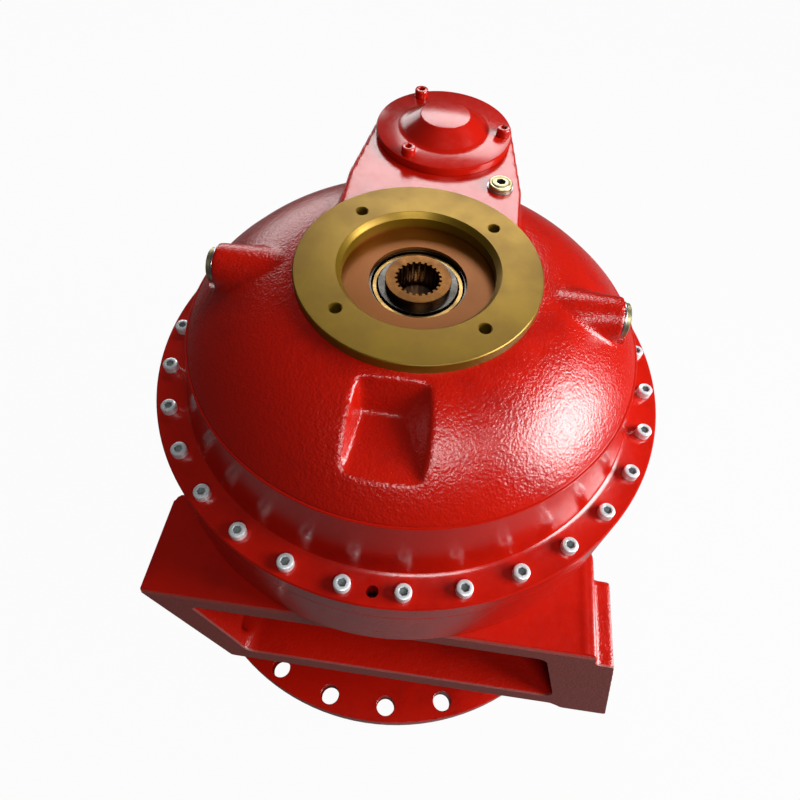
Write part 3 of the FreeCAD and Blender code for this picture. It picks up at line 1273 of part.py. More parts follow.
def make_drum_flange():
    body = new_body("drum_flange")
    foot = sphere_across("Size.seal_sphere", "Size.seal_low")
    turn(body, "drum_turn", [
        ("Size.drum_bore", "0"),
        ("Size.drum_radius", "0"),
        ("Size.drum_radius", "Size.drum_flange"),
        ("Size.drum_foot_radius", "Size.drum_flange"),
        (f"{foot} + Size.coupling_height", FILLET_TOP),
        (foot, f"{SWIVEL} - Size.seal_low", "-Size.seal_sphere"),
        (sphere_across("Size.seal_sphere", "Size.seal_high"), f"{SWIVEL} - Size.seal_high"),
        ("Size.drum_inner + Size.drum_shoulder", DRUM_LOW),
        (BEARING_SEAT, DRUM_LOW),
        (BEARING_SEAT, DRUM_TOP),
        (NUT_CLEAR, DRUM_TOP),
        (NUT_CLEAR, f"{DRUM_TOP} + Size.nut_height + Size.nut_spare"),
        (COUPLING_ROOT, f"{DRUM_TOP} + Size.nut_height + Size.nut_spare"),
        (COUPLING_ROOT, END_TOP),
        ("Size.drum_bore", END_TOP),
    ])
    half = f"{COUPLING_STEP} / 4 - Size.coupling_gap / 2"
    sketch = new_sketch(body, "hub_tooth_outline", "XY_Plane", f"{SWIVEL} + Size.coupling_reach")
    draw_outline(sketch, tooth_corners(f"{COUPLING_CORE} + Size.tooth_sink", half,
                                       f"{COUPLING_ROOT} + Size.tooth_sink", half))
    tooth = raise_pad(body, "hub_tooth", sketch, "2 * Size.coupling_reach", downward=True)
    repeat_round(body, "hub_tooth", tooth, "Size.coupling_teeth")
    groove = ring_groove_outline("Size.drum_bore", END_LOW)
    turn(body, "end_groove", groove, cut=True)
    angle = "(Size.drum_phase - 180 / Size.coupling_teeth) * 1 deg"
    across = f"{DRUM_CIRCLE} * cos({angle})"
    back = f"{DRUM_CIRCLE} * sin({angle})"
    drill_circle(body, "drum_hole", across, back,
                 "Size.drum_hole", "Size.drum_flange", "Size.drum_flange", "Size.drum_holes")
    turn_half_step(body, "Size.coupling_teeth")
    return body


COUPLING_ROOT = "Size.coupling_radius + Size.coupling_height + Size.tooth_root_room"
FILLET_TOP = f"{SWIVEL} - Size.seal_low - Size.end_drop"


# End plate: it closes the drum hub and holds the centre ball in its cup
def make_end_plate():
    cup = "(Size.centre_ball + Size.cup_gap)"
    return turned_body("hub_end_plate", [
        ("0", END_LOW),
        ("Size.drum_bore - Size.fit_gap", END_LOW),
        ("Size.drum_bore - Size.fit_gap", END_TOP),
        ("Size.ball_stub", END_TOP),
        ("Size.ball_stub", f"{SWIVEL} - {sphere_across(cup, 'Size.ball_stub')}", cup),
        ("0", f"{SWIVEL} - {cup}"),
    ])


def make_retaining_ring(label, bore, top):
    outer = f"{bore} + Size.groove_depth - Size.fit_gap"
    low = f"{top} - Size.ring_wire"
    inner = f"{bore} - Size.ring_lip"
    return turned_body(label, [(inner, low), (outer, low), (outer, top), (inner, top)])


# Seal carrier: it closes the housing, holds the drum bearing up and carries the seal
SEAL_HIGH = f"{SWIVEL} - Size.seal_top"
SEAL_LOW = f"{SEAL_HIGH} - Size.seal_width"
KEEPER_LOW = "Size.neck_bottom - Size.keeper_flange"


def make_seal_carrier():
    body = new_body("seal_carrier")
    room = "sqrt(Size.sphere_radius ^ 2 - (Size.drum_width / 2) ^ 2) + Size.stage_gap"
    seat = "Size.seal_outer + Size.fit_gap"
    spigot = "Size.drum_outer - Size.fit_gap"
    turn(body, "carrier_turn", [
        (seat, KEEPER_LOW),
        ("Size.neck_radius", KEEPER_LOW),
        ("Size.neck_radius", "Size.neck_bottom"),
        (spigot, "Size.neck_bottom"),
        (spigot, f"{DRUM_LOW} - Size.fit_gap"),
        (room, f"{DRUM_LOW} - Size.fit_gap"),
        (room, SEAL_HIGH),
        (seat, SEAL_HIGH),
    ])
    turn(body, "seal_groove", ring_groove_outline(seat, SEAL_LOW), cut=True)
    drill_circle(body, "keeper_hole", KEEPER_CIRCLE, "0", "Size.screw_radius + Size.hole_gap",
                 "Size.neck_bottom", "Size.keeper_flange", "Size.keeper_screws")
    return body


def make_seal():
    face = "(Size.seal_sphere + Size.seal_gap)"
    return turned_body("shaft_seal", [
        (sphere_across(face, "Size.seal_top + Size.seal_width"), SEAL_LOW),
        ("Size.seal_outer", SEAL_LOW),
        ("Size.seal_outer", SEAL_HIGH),
        (sphere_across(face, "Size.seal_top"), SEAL_HIGH, face),
    ])


# Auxiliary cover plate with its raised cap
def make_auxiliary_plate():
    body = new_body("auxiliary_cover")
    top = f"{EAR_TOP} + Size.plate_thick"
    turn(body, "auxiliary_turn", [
        ("0", EAR_TOP),
        ("Size.plate_radius", EAR_TOP),
        ("Size.plate_radius", f"{top} - Size.plate_edge"),
        ("Size.plate_radius - Size.plate_edge", top),
        ("Size.cap_base", top, "-Size.cap_height"),
        ("Size.cap_top + Size.cap_shoulder", f"{top} + Size.cap_height - Size.cap_slope"),
        ("Size.cap_top", f"{top} + Size.cap_height"),
        ("0", f"{top} + Size.cap_height"),
    ])
    for number, across, back in auxiliary_holes("0"):
        drill_circle(body, f"plate_hole_{number}", across, back,
                     "Size.screw_radius + Size.hole_gap", top, "Size.plate_thick")
    body.setExpression("Placement.Base.y", "Size.ear_centre")
    return body


def finish_cage(label, shape):
    cage = doc.addObject("Part::Feature", label)
    cage.Label = label
    cage.Shape = shape
    return cage


# The assembly, from the motor end down to the drum
parts = [cover]
housing = make_housing()
parts.append(housing)
parts.append(screw_set("cover_screws", SCREW_CIRCLE, "0", JOINT_TOP,
                       "Size.screw_length", "Size.screw_count"))
parts.append(make_auxiliary_plate())
PLATE_TOP = f"{EAR_TOP} + Size.plate_thick"
parts.append(screw_set("auxiliary_screws", AUX_CIRCLE, "Size.ear_centre", PLATE_TOP,
                       "Size.aux_screw_length", "3", "Size.ear_centre", value("Size.aux_phase")))
seal_place = ("0", "Size.ear_centre", f"{EAR_TOP} - Size.oring - Size.fit_gap / 2")
seal_sizes = {"Radius1": ORING_MIDDLE, "Radius2": "Size.oring"}
parts.append(primitive("Part::Torus", "auxiliary_seal", seal_sizes, seal_place))

filler = ("Size.filler_collar", "Size.filler_thread")
filler_place = ("Size.filler_across", "Size.filler_back", EAR_TOP)
parts.append(make_plug("filler_plug", *filler, "Size.filler_socket", filler_place, UPRIGHT))
parts.append(make_washer("filler_washer", *filler, filler_place, UPRIGHT))
plug = ("Size.plug_collar", "Size.plug_thread")
for side, turned, name in ((1, TO_RIGHT, "right"), (-1, TO_LEFT, "left")):
    place = (f"{side} * Size.side_face", "0", SIDE_HEIGHT)
    parts.append(make_plug(f"side_plug_{name}", *plug, "Size.plug_socket", place, turned))
    parts.append(make_washer(f"side_washer_{name}", *plug, place, turned))

parts.append(make_input_hub())
inner, outer, balls, cage = make_ball_bearing("input_bearing", "Size.input_inner", "Size.input_outer",
                                              "Size.input_width", INPUT_LOW, "Size.input_ball",
                                              "Size.input_ball_count")
parts += [inner, outer, balls, finish_cage("input_bearing_cage", cage)]
input_bore = "Size.input_outer + Size.fit_gap"
parts.append(make_retaining_ring("input_retaining_ring", input_bore, INPUT_LOW))

for stage, follower in zip(STAGES, ("second", "third", None)):
    parts.append(make_ring_gear(stage))
    parts += make_planets(stage)
    parts.append(make_pins(stage))
    carrier = make_carrier(stage, follower)
    if follower is None:
        add_coupling_teeth(carrier)
    parts.append(carrier)

sun = make_sun("first", PLACE["first"]["gear_top"])
turn(sun, "sun_shaft", [
    ("0", PLACE["first"]["gear_low"]),
    ("Size.hub_bore - Size.fit_gap", PLACE["first"]["gear_low"]),
    ("Size.hub_bore - Size.fit_gap", INPUT_LOW),
    ("0", INPUT_LOW),
])
parts.append(sun)
parts.append(make_sun("second", PLACE["first"]["plate_top"]))
parts.append(make_sun("third", PLACE["second"]["plate_top"]))

inner, outer, balls, cage = make_ball_bearing("carrier_bearing", "Size.carrier_bearing_inner",
                                              "Size.carrier_bearing_outer", "Size.carrier_bearing_width",
                                              "Size.carrier_bearing_bottom", "Size.carrier_ball",
                                              "Size.carrier_ball_count")
parts += [inner, outer, balls, finish_cage("carrier_bearing_cage", cage)]
parts.append(make_drum_outer_ring())
parts.append(make_rollers())
parts.append(make_drum_cage())
parts.append(make_drum_inner_ring())
parts.append(make_drum_flange())
parts.append(primitive("Part::Sphere", "centre_ball", {"Radius": "Size.centre_ball"}, ("0", "0", SWIVEL)))
parts.append(turned_body("drum_lock_nut", [
    (f"{NUT_CLEAR} + Size.thread_gap", DRUM_TOP),
    ("Size.nut_radius", DRUM_TOP),
    ("Size.nut_radius", f"{DRUM_TOP} + Size.nut_height"),
    (f"{NUT_CLEAR} + Size.thread_gap", f"{DRUM_TOP} + Size.nut_height"),
]))
parts.append(make_end_plate())
parts.append(make_retaining_ring("hub_retaining_ring", "Size.drum_bore", END_LOW))
parts.append(make_seal_carrier())
parts.append(screw_set("seal_carrier_screws", KEEPER_CIRCLE, "0", KEEPER_LOW,
                       "Size.keeper_screw_length", "Size.keeper_screws", upside_down=True))
parts.append(make_seal())
parts.append(make_retaining_ring("seal_retaining_ring", "Size.seal_outer + Size.fit_gap", SEAL_LOW))

doc.recompute()
for item in doc.Objects:
    if "Invalid" in item.State or "Error" in item.State:
        raise RuntimeError(f"{item.Label} failed: {item.getStatusString()}")
for item in parts:
    if item.Shape.isNull() or not item.Shape.isValid():
        raise RuntimeError(f"{item.Label} has no valid shape")

os.makedirs("parts", exist_ok=True)
for item in parts:
    item.Shape.exportStep(f"parts/{item.Label}.step")
    print(f"{item.Label}: {len(item.Shape.Solids)} solids, {item.Shape.Volume / 1000:.1f} cm3")
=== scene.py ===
# %% [markdown]
# # Mixer drum gearbox
# A planetary gearbox that turns a truck mixer drum. It stands on its drum flange, with the
# motor end up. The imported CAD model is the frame: every piece here takes its place from it.

# %% Load the frame
import math

import bmesh
import bpy
from mathutils import Matrix, Vector


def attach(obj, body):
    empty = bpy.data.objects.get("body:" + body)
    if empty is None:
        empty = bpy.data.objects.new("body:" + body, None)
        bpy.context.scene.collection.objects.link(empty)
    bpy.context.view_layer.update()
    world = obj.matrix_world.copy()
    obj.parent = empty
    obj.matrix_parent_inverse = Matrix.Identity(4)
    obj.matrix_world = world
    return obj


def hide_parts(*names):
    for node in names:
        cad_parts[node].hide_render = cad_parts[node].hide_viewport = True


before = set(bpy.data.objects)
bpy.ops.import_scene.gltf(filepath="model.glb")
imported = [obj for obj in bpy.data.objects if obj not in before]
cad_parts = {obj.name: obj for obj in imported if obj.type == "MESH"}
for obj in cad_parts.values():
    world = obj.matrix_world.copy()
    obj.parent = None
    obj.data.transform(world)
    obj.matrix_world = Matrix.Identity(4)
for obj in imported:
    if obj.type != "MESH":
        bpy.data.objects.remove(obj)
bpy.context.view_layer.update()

# %% [markdown]
# The drawings of the gearbox are in millimetres and Blender works in metres, so every shape
# is made in millimetres and scaled once, when its mesh is finished.

# %% Units and the collection for new pieces
MM = 0.001
TAU = 2 * math.pi
made_pieces = bpy.data.collections.new("gearbox_pieces")
bpy.context.scene.collection.children.link(made_pieces)


def finished_mesh(name, bm):
    bmesh.ops.remove_doubles(bm, verts=bm.verts, dist=1e-4)
    bmesh.ops.recalc_face_normals(bm, faces=bm.faces)
    bmesh.ops.scale(bm, vec=(MM, MM, MM), verts=bm.verts)
    mesh = bpy.data.meshes.new(name)
    bm.to_mesh(mesh)
    bm.free()
    piece = bpy.data.objects.new(name, mesh)
    made_pieces.objects.link(piece)
    return piece


# %% [markdown]
# Most of the gearbox was turned on a lathe. A turned form is a profile of radius and height
# that is spun round the Z axis. Spinning the profile once gives an even, closed surface.

# %% Turned forms
def turned(name, profile, steps=192, closed=False, place=None):
    bm = bmesh.new()
    verts = [bm.verts.new((radius, 0, height)) for radius, height in profile]
    edges = [bm.edges.new(pair) for pair in zip(verts, verts[1:])]
    if closed:
        edges.append(bm.edges.new((verts[-1], verts[0])))
    bmesh.ops.spin(bm, geom=verts + edges, cent=(0, 0, 0), axis=(0, 0, 1), dvec=(0, 0, 0),
                   angle=TAU, steps=steps, use_merge=True, use_duplicate=False)
    bmesh.ops.remove_doubles(bm, verts=bm.verts, dist=1e-4)
    bmesh.ops.dissolve_degenerate(bm, edges=bm.edges, dist=1e-5)
    if place is not None:
        bmesh.ops.transform(bm, matrix=place, verts=bm.verts)
    return finished_mesh(name, bm)


def arc(start, end, radius, steps):
    """Points of a shallow arc between two profile points, bulging away from the axis."""
    (r0, z0), (r1, z1) = start, end
    chord = math.hypot(r1 - r0, z1 - z0)
    inward = math.sqrt(radius * radius - chord * chord / 4)
    cr = (r0 + r1) / 2 + (z1 - z0) / chord * inward
    cz = (z0 + z1) / 2 - (r1 - r0) / chord * inward
    first = math.atan2(z0 - cz, r0 - cr)
    last = math.atan2(z1 - cz, r1 - cr)
    points = []
    for index in range(steps + 1):
        angle = first + (last - first) * index / steps
        points.append((cr + radius * math.cos(angle), cz + radius * math.sin(angle)))
    return points


print("turned forms ready")


# %% [markdown]
# The castings also have flat-sided parts: the ear, the side bosses, the recess and the foot.
# Each is either the hull of a few points or an outline pulled out to a length.

# %% Hulls, prisms and round tools
def hull(name, points):
    bm = bmesh.new()
    for point in points:
        bm.verts.new(point)
    found = bmesh.ops.convex_hull(bm, input=bm.verts)
    loose = [item for item in found["geom_interior"] if isinstance(item, bmesh.types.BMVert)]
    bmesh.ops.delete(bm, geom=loose, context="VERTS")
    return finished_mesh(name, bm)


def on_circle(radius, count, centre_y=0):
    """Even places on a circle round (0, centre_y), each as (x, y, angle)."""
    turns = [TAU * index / count for index in range(count)]
    return [(radius * math.cos(a), centre_y + radius * math.sin(a), a) for a in turns]


def ring_of_points(centre, radius, axis, count=48):
    """Points of a circle round a centre, lying square to the named axis."""
    points = []
    for across, up, _ in on_circle(radius, count):
        offset = (0, across, up) if axis == "x" else (across, up, 0)
        points.append(tuple(c + o for c, o in zip(centre, offset)))
    return points


def prism(name, outline, start, length, facing="z"):
    """An outline pulled out: from XY upwards, from XZ towards -Y or from YZ towards +X."""
    if facing == "z":
        corners, pull = [(a, b, start) for a, b in outline], (0, 0, length)
    elif facing == "y":
        corners, pull = [(a, start, b) for a, b in outline], (0, -length, 0)
    else:
        corners, pull = [(start, a, b) for a, b in outline], (length, 0, 0)
    bm = bmesh.new()
    face = bm.faces.new([bm.verts.new(corner) for corner in corners])
    moved = bmesh.ops.extrude_face_region(bm, geom=[face])
    ends = [item for item in moved["geom"] if isinstance(item, bmesh.types.BMVert)]
    bmesh.ops.translate(bm, vec=pull, verts=ends)
    return finished_mesh(name, bm)


def drills(name, holes, sides=32):
    """Upright round tools joined in one mesh: each hole is (x, y, radius, low, high)."""
    bm = bmesh.new()
    for x, y, radius, low, high in holes:
        place = Matrix.Translation((x, y, (low + high) / 2))
        bmesh.ops.create_cone(bm, cap_ends=True, segments=sides, radius1=radius, radius2=radius,
                              depth=high - low, matrix=place)
    return finished_mesh(name, bm)


def sideways(x, y, z, towards):
    """Turns an upright form so that its top faces +X or -X, at the given place."""
    return Matrix.Translation((x, y, z)) @ Matrix.Rotation(towards * math.pi / 2, 4, "Y")


print("hulls and prisms ready")


# %% [markdown]
# Castings are joined and cut with Boolean modifiers that are applied at once. A voxel remesh
# followed by smoothing then melts the joints together, as sand casting rounds every corner.
# Machined faces are cut after that, so that they stay crisp.

# %% Joining, cutting and casting
def take_modified(piece):
    graph = bpy.context.evaluated_depsgraph_get()
    mesh = bpy.data.meshes.new_from_object(piece.evaluated_get(graph))
    piece.modifiers.clear()
    old = piece.data
    piece.data = mesh
    bpy.data.meshes.remove(old)
    return piece


def combine(piece, tools, operation, solver="MANIFOLD"):
    for tool in tools:
        modifier = piece.modifiers.new("combine", "BOOLEAN")
        modifier.operation = operation
        modifier.solver = solver
        modifier.object = tool
        take_modified(piece)
        bpy.data.objects.remove(tool)
    return piece


def fuse(piece, *tools):
    return combine(piece, tools, "UNION")


def carve(piece, *tools):
    return combine(piece, tools, "DIFFERENCE")


def cast_skin(piece, voxel, passes):
    remesh = piece.modifiers.new("cast", "REMESH")
    remesh.mode = "VOXEL"
    remesh.voxel_size = voxel * MM
    take_modified(piece)
    smooth = piece.modifiers.new("soften", "SMOOTH")
    smooth.factor = 0.5
    smooth.iterations = passes
    return take_modified(piece)


def shade(piece, angle=32.0):
    for polygon in piece.data.polygons:
        polygon.use_smooth = True
    piece.data.set_sharp_from_angle(angle=math.radians(angle))
    return piece


def report(piece):
    print(piece.name, "vertices", len(piece.data.vertices), "faces", len(piece.data.polygons))
    return piece


# %% [markdown]
# ## Camera
# The photograph looks down on the motor end from the foot's side. The camera's place was
# worked out from known sizes, such as the bolt circles and the flange edges.

# %% Camera at the photograph's viewing angle
CAMERA_PLACE = Vector((0.0242, -0.3678, 0.8281))
CAMERA_AZIMUTH, CAMERA_RISE, CAMERA_ROLL = (math.radians(a) for a in (2.52, 55.13, 5.90))
back = Vector((math.sin(CAMERA_AZIMUTH) * math.cos(CAMERA_RISE),
               -math.cos(CAMERA_AZIMUTH) * math.cos(CAMERA_RISE), math.sin(CAMERA_RISE)))
level_x = Vector((0, 0, 1)).cross(back).normalized()
level_y = back.cross(level_x)
right = level_x * math.cos(CAMERA_ROLL) + level_y * math.sin(CAMERA_ROLL)
up = level_y * math.cos(CAMERA_ROLL) - level_x * math.sin(CAMERA_ROLL)
lens = bpy.data.cameras.new("photo_camera")
lens.sensor_width = 36
lens.lens = 27.66
lens.shift_x = -0.0203
lens.shift_y = -0.0075
camera = bpy.data.objects.new("photo_camera", lens)
camera.matrix_world = Matrix((
    (right.x, up.x, back.x, CAMERA_PLACE.x),
    (right.y, up.y, back.y, CAMERA_PLACE.y),
    (right.z, up.z, back.z, CAMERA_PLACE.z),
    (0, 0, 0, 1),
))
bpy.context.scene.collection.objects.link(camera)
bpy.context.scene.camera = camera
bpy.context.scene.view_settings.view_transform = "Standard"
print("camera at", tuple(CAMERA_PLACE))

# %% [markdown]
# ## Cover
# The cover is an iron casting: a low dome with an ear for the auxiliary housing, a horn on
# each side for a level plug and a hollow at the front. The dome was cast rough, while the cone
# below it and its bolted flange were turned smooth.

# %% Rough cover casting
EAR_Y, PLUG_HEIGHT = 192, 449
dome_line = arc((101.5, 471), (197.6, 414.4), 165, 24)
dome_profile = [(0, 471)] + dome_line + [(198.6, 404), (203.4, 380), (203.4, 340), (0, 340)]
dome = turned("cover_casting", dome_profile)

ear_top, ear_low = 476, 404
ear_points = []
for height, grow in ((ear_top, 0), (ear_low, 3)):
    ear_points += ring_of_points((0, EAR_Y, height), 69.5 + grow, "z", 64)
    for x, y in ((-80, 60), (-80, 118), (80, 118), (80, 60)):
        ear_points.append((x + math.copysign(grow, x), y, height))
ear = hull("ear", ear_points)

fuse(dome, ear)
for side in (-1, 1):
    horn = ring_of_points((side * 171.5, 0, PLUG_HEIGHT), 19.5, "x")
    horn += ring_of_points((side * 112, 0, 436.5), 32, "x")
    fuse(dome, hull(f"horn_{side}", horn))

front_hollow = [
    (-27, -121, 442), (6, -121, 442),
    (-39, -83.6, 518), (52, -83.6, 518),
    (-33, -182, 436), (29, -182, 436),
    (-39, -182, 518), (52, -182, 518),
]
carve(dome, hull("front_hollow", front_hollow))
cast_skin(dome, 2.4, 3)
report(dome)

# %% [markdown]
# The turned cone and flange are one clean profile. It stands half a millimetre proud of the
# rough dome, which leaves the fine step that the lathe tool leaves on the real cover.

# %% Turned cone and flange
flange_profile = [
    (150, 415.0), (197.9, 415.0), (198.6, 414.3), (209, 359.5), (210.4, 356.2), (213.8, 354.2),
    (236.8, 354.0), (238, 352.8), (238, 331.7), (237.3, 331), (150, 331),
]
fuse(dome, turned("cover_flange", flange_profile, closed=True))
report(dome)

# %% [markdown]
# The inside is cut last: the bearing seat, the cavity with the seats of two ring gears, the
# bores of the ear and horns, and the drilled holes. A block behind the front hollow is taken out
# of the cavity's tool first, so that the hollow keeps a wall at its back.

# %% Machined cuts of the cover
cavity = [
    (0, 500), (101.5, 500), (101.5, 455), (45.1, 455), (45.1, 434), (60, 434), (60, 452.5),
    (124.3, 446), (124.3, 426), (142.3, 426), (142.3, 396), (174.1, 396), (174.1, 378),
    (180.2, 378), (180.2, 345), (180.2, 320), (0, 320),
]
cavity_tool = turned("cavity", cavity)
backing_line = [(-43, -142.3), (43, -142.3), (43, -94), (-43, -94)]
carve(cavity_tool, prism("hollow_backing", backing_line, 434, 30))
carve(dome, cavity_tool)
SCREW_CIRCLE = 226
SCREW_RING = on_circle(SCREW_CIRCLE, 30)
EAR_RING = on_circle(57.7, 3, EAR_Y)
bolt_holes = [(x, y, 4.5, 325, 360) for x, y, _ in SCREW_RING]
bolt_holes += [(0, -SCREW_CIRCLE, 4.8, 325, 360), (0, EAR_Y, 46, 431, 490),
               (60, 120, 8.1, 434, 490)]
bolt_holes += [(x, y, 4.1, 460, 490) for x, y, _ in EAR_RING]
carve(dome, drills("cover_drills", bolt_holes))


PLUG_FACE = 172


def side_rod(name, radius, side, start, end):
    bm = bmesh.new()
    place = sideways(side * (start + end) / 2, 0, PLUG_HEIGHT, side)
    bmesh.ops.create_cone(bm, cap_ends=True, segments=64, radius1=radius, radius2=radius,
                          depth=end - start, matrix=place)
    return finished_mesh(name, bm)


for side in (-1, 1):
    carve(dome, side_rod("spot_face", 19.6, side, PLUG_FACE, 196))
    carve(dome, side_rod("plug_bore", 12.1, side, 130, 180))
shade(dome)
report(dome)

# %% [markdown]
# ## Motor flange
# The motor's seat is bare metal under a coat of yellow preservative: a flat ring, a pilot bore
# with a wide chamfer and an undercut, and the lip that holds the input bearing. Because its
# finish differs from the painted casting it is a piece of its own, set into the cover.

# %% Motor flange ring
ring_profile = [
    (41, 463), (64.3, 463), (64.3, 466.5), (63.5, 466.5), (63.5, 475.2), (64.4, 476.0),
    (66.9, 479.6), (67.5, 480), (100.7, 480), (101.45, 479.3), (101.45, 455.05), (45.1, 455.05),
    (45.1, 460), (41, 460),
]
flange_ring = turned("motor_flange_ring", ring_profile, closed=True)
motor_holes = []
for x in (-57.25, 57.25):
    for y in (-57.25, 57.25):
        motor_holes += [(x, y, 5.1, 461, 479.9), (x, y, 5.7, 479.3, 482)]
for hole in motor_holes:
    carve(flange_ring, drills("motor_hole", [hole]))
shade(flange_ring)
report(flange_ring)

# %% [markdown]
# ## Housing and foot
# The housing is one casting with the foot that bolts to the mixer's pedestal. The foot is a
# box bracket: a slanted wall on the left, a side pad on the right, and a face that leans out
# towards its lower edge. The box is drawn from the front and pulled towards the viewer.

# %% Foot
foot_line = [(-212, 262), (200, 262), (202, 250), (219, 250), (241, 150), (196, 150),
             (184, 157), (-140, 157)]
foot = prism("housing_casting", foot_line, -130, 200, facing="y")


def corner_arc(cx, cy, radius, start, end, steps=6):
    """Points of a quarter round, for the corners of an outline."""
    points = []
    for index in range(steps + 1):
        a = math.radians(start + (end - start) * index / steps)
        points.append((cx + radius * math.cos(a), cy + radius * math.sin(a)))
    return points


window_line = [(-168, 246)]
window_line += corner_arc(152, 236, 10, 90, 10)
window_line += corner_arc(171, 181, 10, -10, -90)
window_line += corner_arc(-113, 187, 16, -90, -165)
carve(foot, prism("foot_window", window_line, -120, 220, facing="y"))


LEAN_ALLOWANCE = 3
lean_line = [(-209, 278), (-228.6, 259), (-255.2, 134), (-400, 134), (-400, 278)]
rough_line = [(y - LEAN_ALLOWANCE, z) for y, z in lean_line]
carve(foot, prism("leaning_cut", rough_line, -260, 520, facing="x"))
slot_line = corner_arc(-225, 179, 5.5, 90, 270, 12) + corner_arc(-212.5, 179, 5.5, -90, 90, 12)
carve(foot, prism("wall_slot", slot_line, -215, 100, facing="x"))
wing_line = [(-230, -120), (-230, -142)] + corner_arc(-200, -142, 12, 180, 90) + [(-200, -120)]
carve(foot, prism("wing_corner", wing_line, 150, 130))
pad_line = [(202, -120), (250, -120), (250, -152), (202, -152)]
carve(foot, prism("pad_back", pad_line, 130, 140))
RIB_HALF_WIDTH, RIB_HALF_HEIGHT = 3, 3.2
for rib_x, rib_z in ((190.5, 260.6), (198.2, 260.0)):
    rib_points = [(rib_x + RIB_HALF_WIDTH * across, y, rib_z + RIB_HALF_HEIGHT * rise)
                  for y in (-135, -226) for across, rise, _ in on_circle(1, 12)]
    fuse(foot, hull("foot_rib", rib_points))
report(foot)

# %% [markdown]
# The barrel melts into the foot in one skin of sand casting. The remesh leaves small steps along
# slanted planes, so the foot's leaning face and left wall are cut once more after it. The turned
# band, the seats inside and the tapped holes come last, because they are machined.

# %% Housing barrel
KEEPER_RING = on_circle(141, 12)
barrel = [(0, 266), (205, 266), (205, 236), (152, 200), (152, 112), (0, 112)]
fuse(foot, turned("barrel", barrel))
cast_skin(foot, 2.4, 5)
carve(foot, prism("leaning_face", lean_line, -260, 520, facing="x"))
side_line = [(-218.3, 272.2), (-132.7, 147.4), (-165.7, 124.8), (-251.3, 249.6)]
carve(foot, hull("side_face", [(x, y, z) for x, z in side_line for y in (-150, -340)]))
band = [(190, 262), (236.6, 262), (238, 263.4), (238, 330.3), (237.3, 331), (190, 331)]
fuse(foot, turned("band", band, closed=True))
hollow = [
    (0, 345), (216, 345), (216, 279), (206, 279), (206, 271), (180, 255), (100, 247),
    (90.1, 247), (90.1, 212), (82, 212), (82, 204), (122, 204), (122, 182), (130.1, 182),
    (130.1, 100), (0, 100),
]
carve(foot, turned("hollow", hollow))
tapped = [(x, y, 4.05, 304, 335) for x, y, _ in SCREW_RING]
tapped += [(x, y, 4.05, 105, 130) for x, y, _ in KEEPER_RING]
carve(foot, drills("tapped_holes", tapped, 16))
shade(foot)
report(foot)

# %% [markdown]
# ## Screws and plugs
# A cap screw is turned, then its hexagon socket is cut. One screw is finished first and then
# copied round its circle, each copy turned a little, as no two sockets line up in real life.

# %% Cap screws
def hexagon(inner):
    return [(x, y) for x, y, _ in on_circle(inner / math.cos(math.pi / 6), 6)]


def mark_socket(piece, socket, mouth):
    """Gives a socket's inner faces the second material: duller, and darker as painted shade."""
    for polygon in piece.data.polygons:
        middle = polygon.center
        inside = math.hypot(middle.x, middle.y) < 1.1 * socket * MM
        polygon.material_index = int(inside and 0 < middle.z < mouth * MM)
    return piece


def cap_screw(name, length, head=6.7, high=8.0, socket=3.1):
    profile = [(0, high), (head - 1.3, high), (head - 0.5, high - 0.35), (head, high - 1.1),
               (head, 0.5), (head - 0.4, 0), (4, 0), (4, -length), (0, -length)]
    screw = turned(name, profile, 40)
    cup = [(0, high + 1), (socket + 1.1, high + 1), (socket + 0.55, high - 0.45), (0, high - 0.45)]
    combine(screw, [turned("socket_mouth", cup, 24)], "DIFFERENCE", "EXACT")
    combine(screw, [prism("socket", hexagon(socket), high - 4.5, 6)], "DIFFERENCE", "EXACT")
    return mark_socket(screw, socket, high - 0.5)


def repeated(name, source, places):
    bm = bmesh.new()
    for place in places:
        first = len(bm.verts)
        bm.from_mesh(source.data)
        bm.verts.ensure_lookup_table()
        new_verts = bm.verts[first:]
        bmesh.ops.transform(bm, matrix=place, verts=new_verts)
    mesh = bpy.data.meshes.new(name)
    bm.to_mesh(mesh)
    bm.free()
    bpy.data.objects.remove(source)
    piece = bpy.data.objects.new(name, mesh)
    made_pieces.objects.link(piece)
    return piece


def at(x, y, z, turn=0.0):
    return Matrix.Translation((x * MM, y * MM, z * MM)) @ Matrix.Rotation(turn, 4, "Z")


SOCKET_TURN = 0.9
cover_places = [at(x, y, 354, a + index * SOCKET_TURN)
                for index, (x, y, a) in enumerate(SCREW_RING)]
cover_screws = shade(repeated("cap_screws", cap_screw("one_screw", 45), cover_places))
ear_places = [at(x, y, 484, index * SOCKET_TURN) for index, (x, y, _) in enumerate(EAR_RING)]
ear_screws = shade(repeated("auxiliary_cap_screws", cap_screw("one_screw", 22), ear_places))
flip = Matrix.Rotation(math.pi, 4, "X")
keeper_places = [at(x, y, 92) @ flip for x, y, _ in KEEPER_RING]
keeper_screws = cap_screw("one_screw", 34)
keeper_screws = shade(repeated("seal_carrier_cap_screws", keeper_screws, keeper_places))
report(cover_screws)

# %% [markdown]
# A plug is a turned head with a rounded collar, a short threaded shank and a hexagon socket.
# The two side plugs are the same turned form, laid over to the right and to the left.

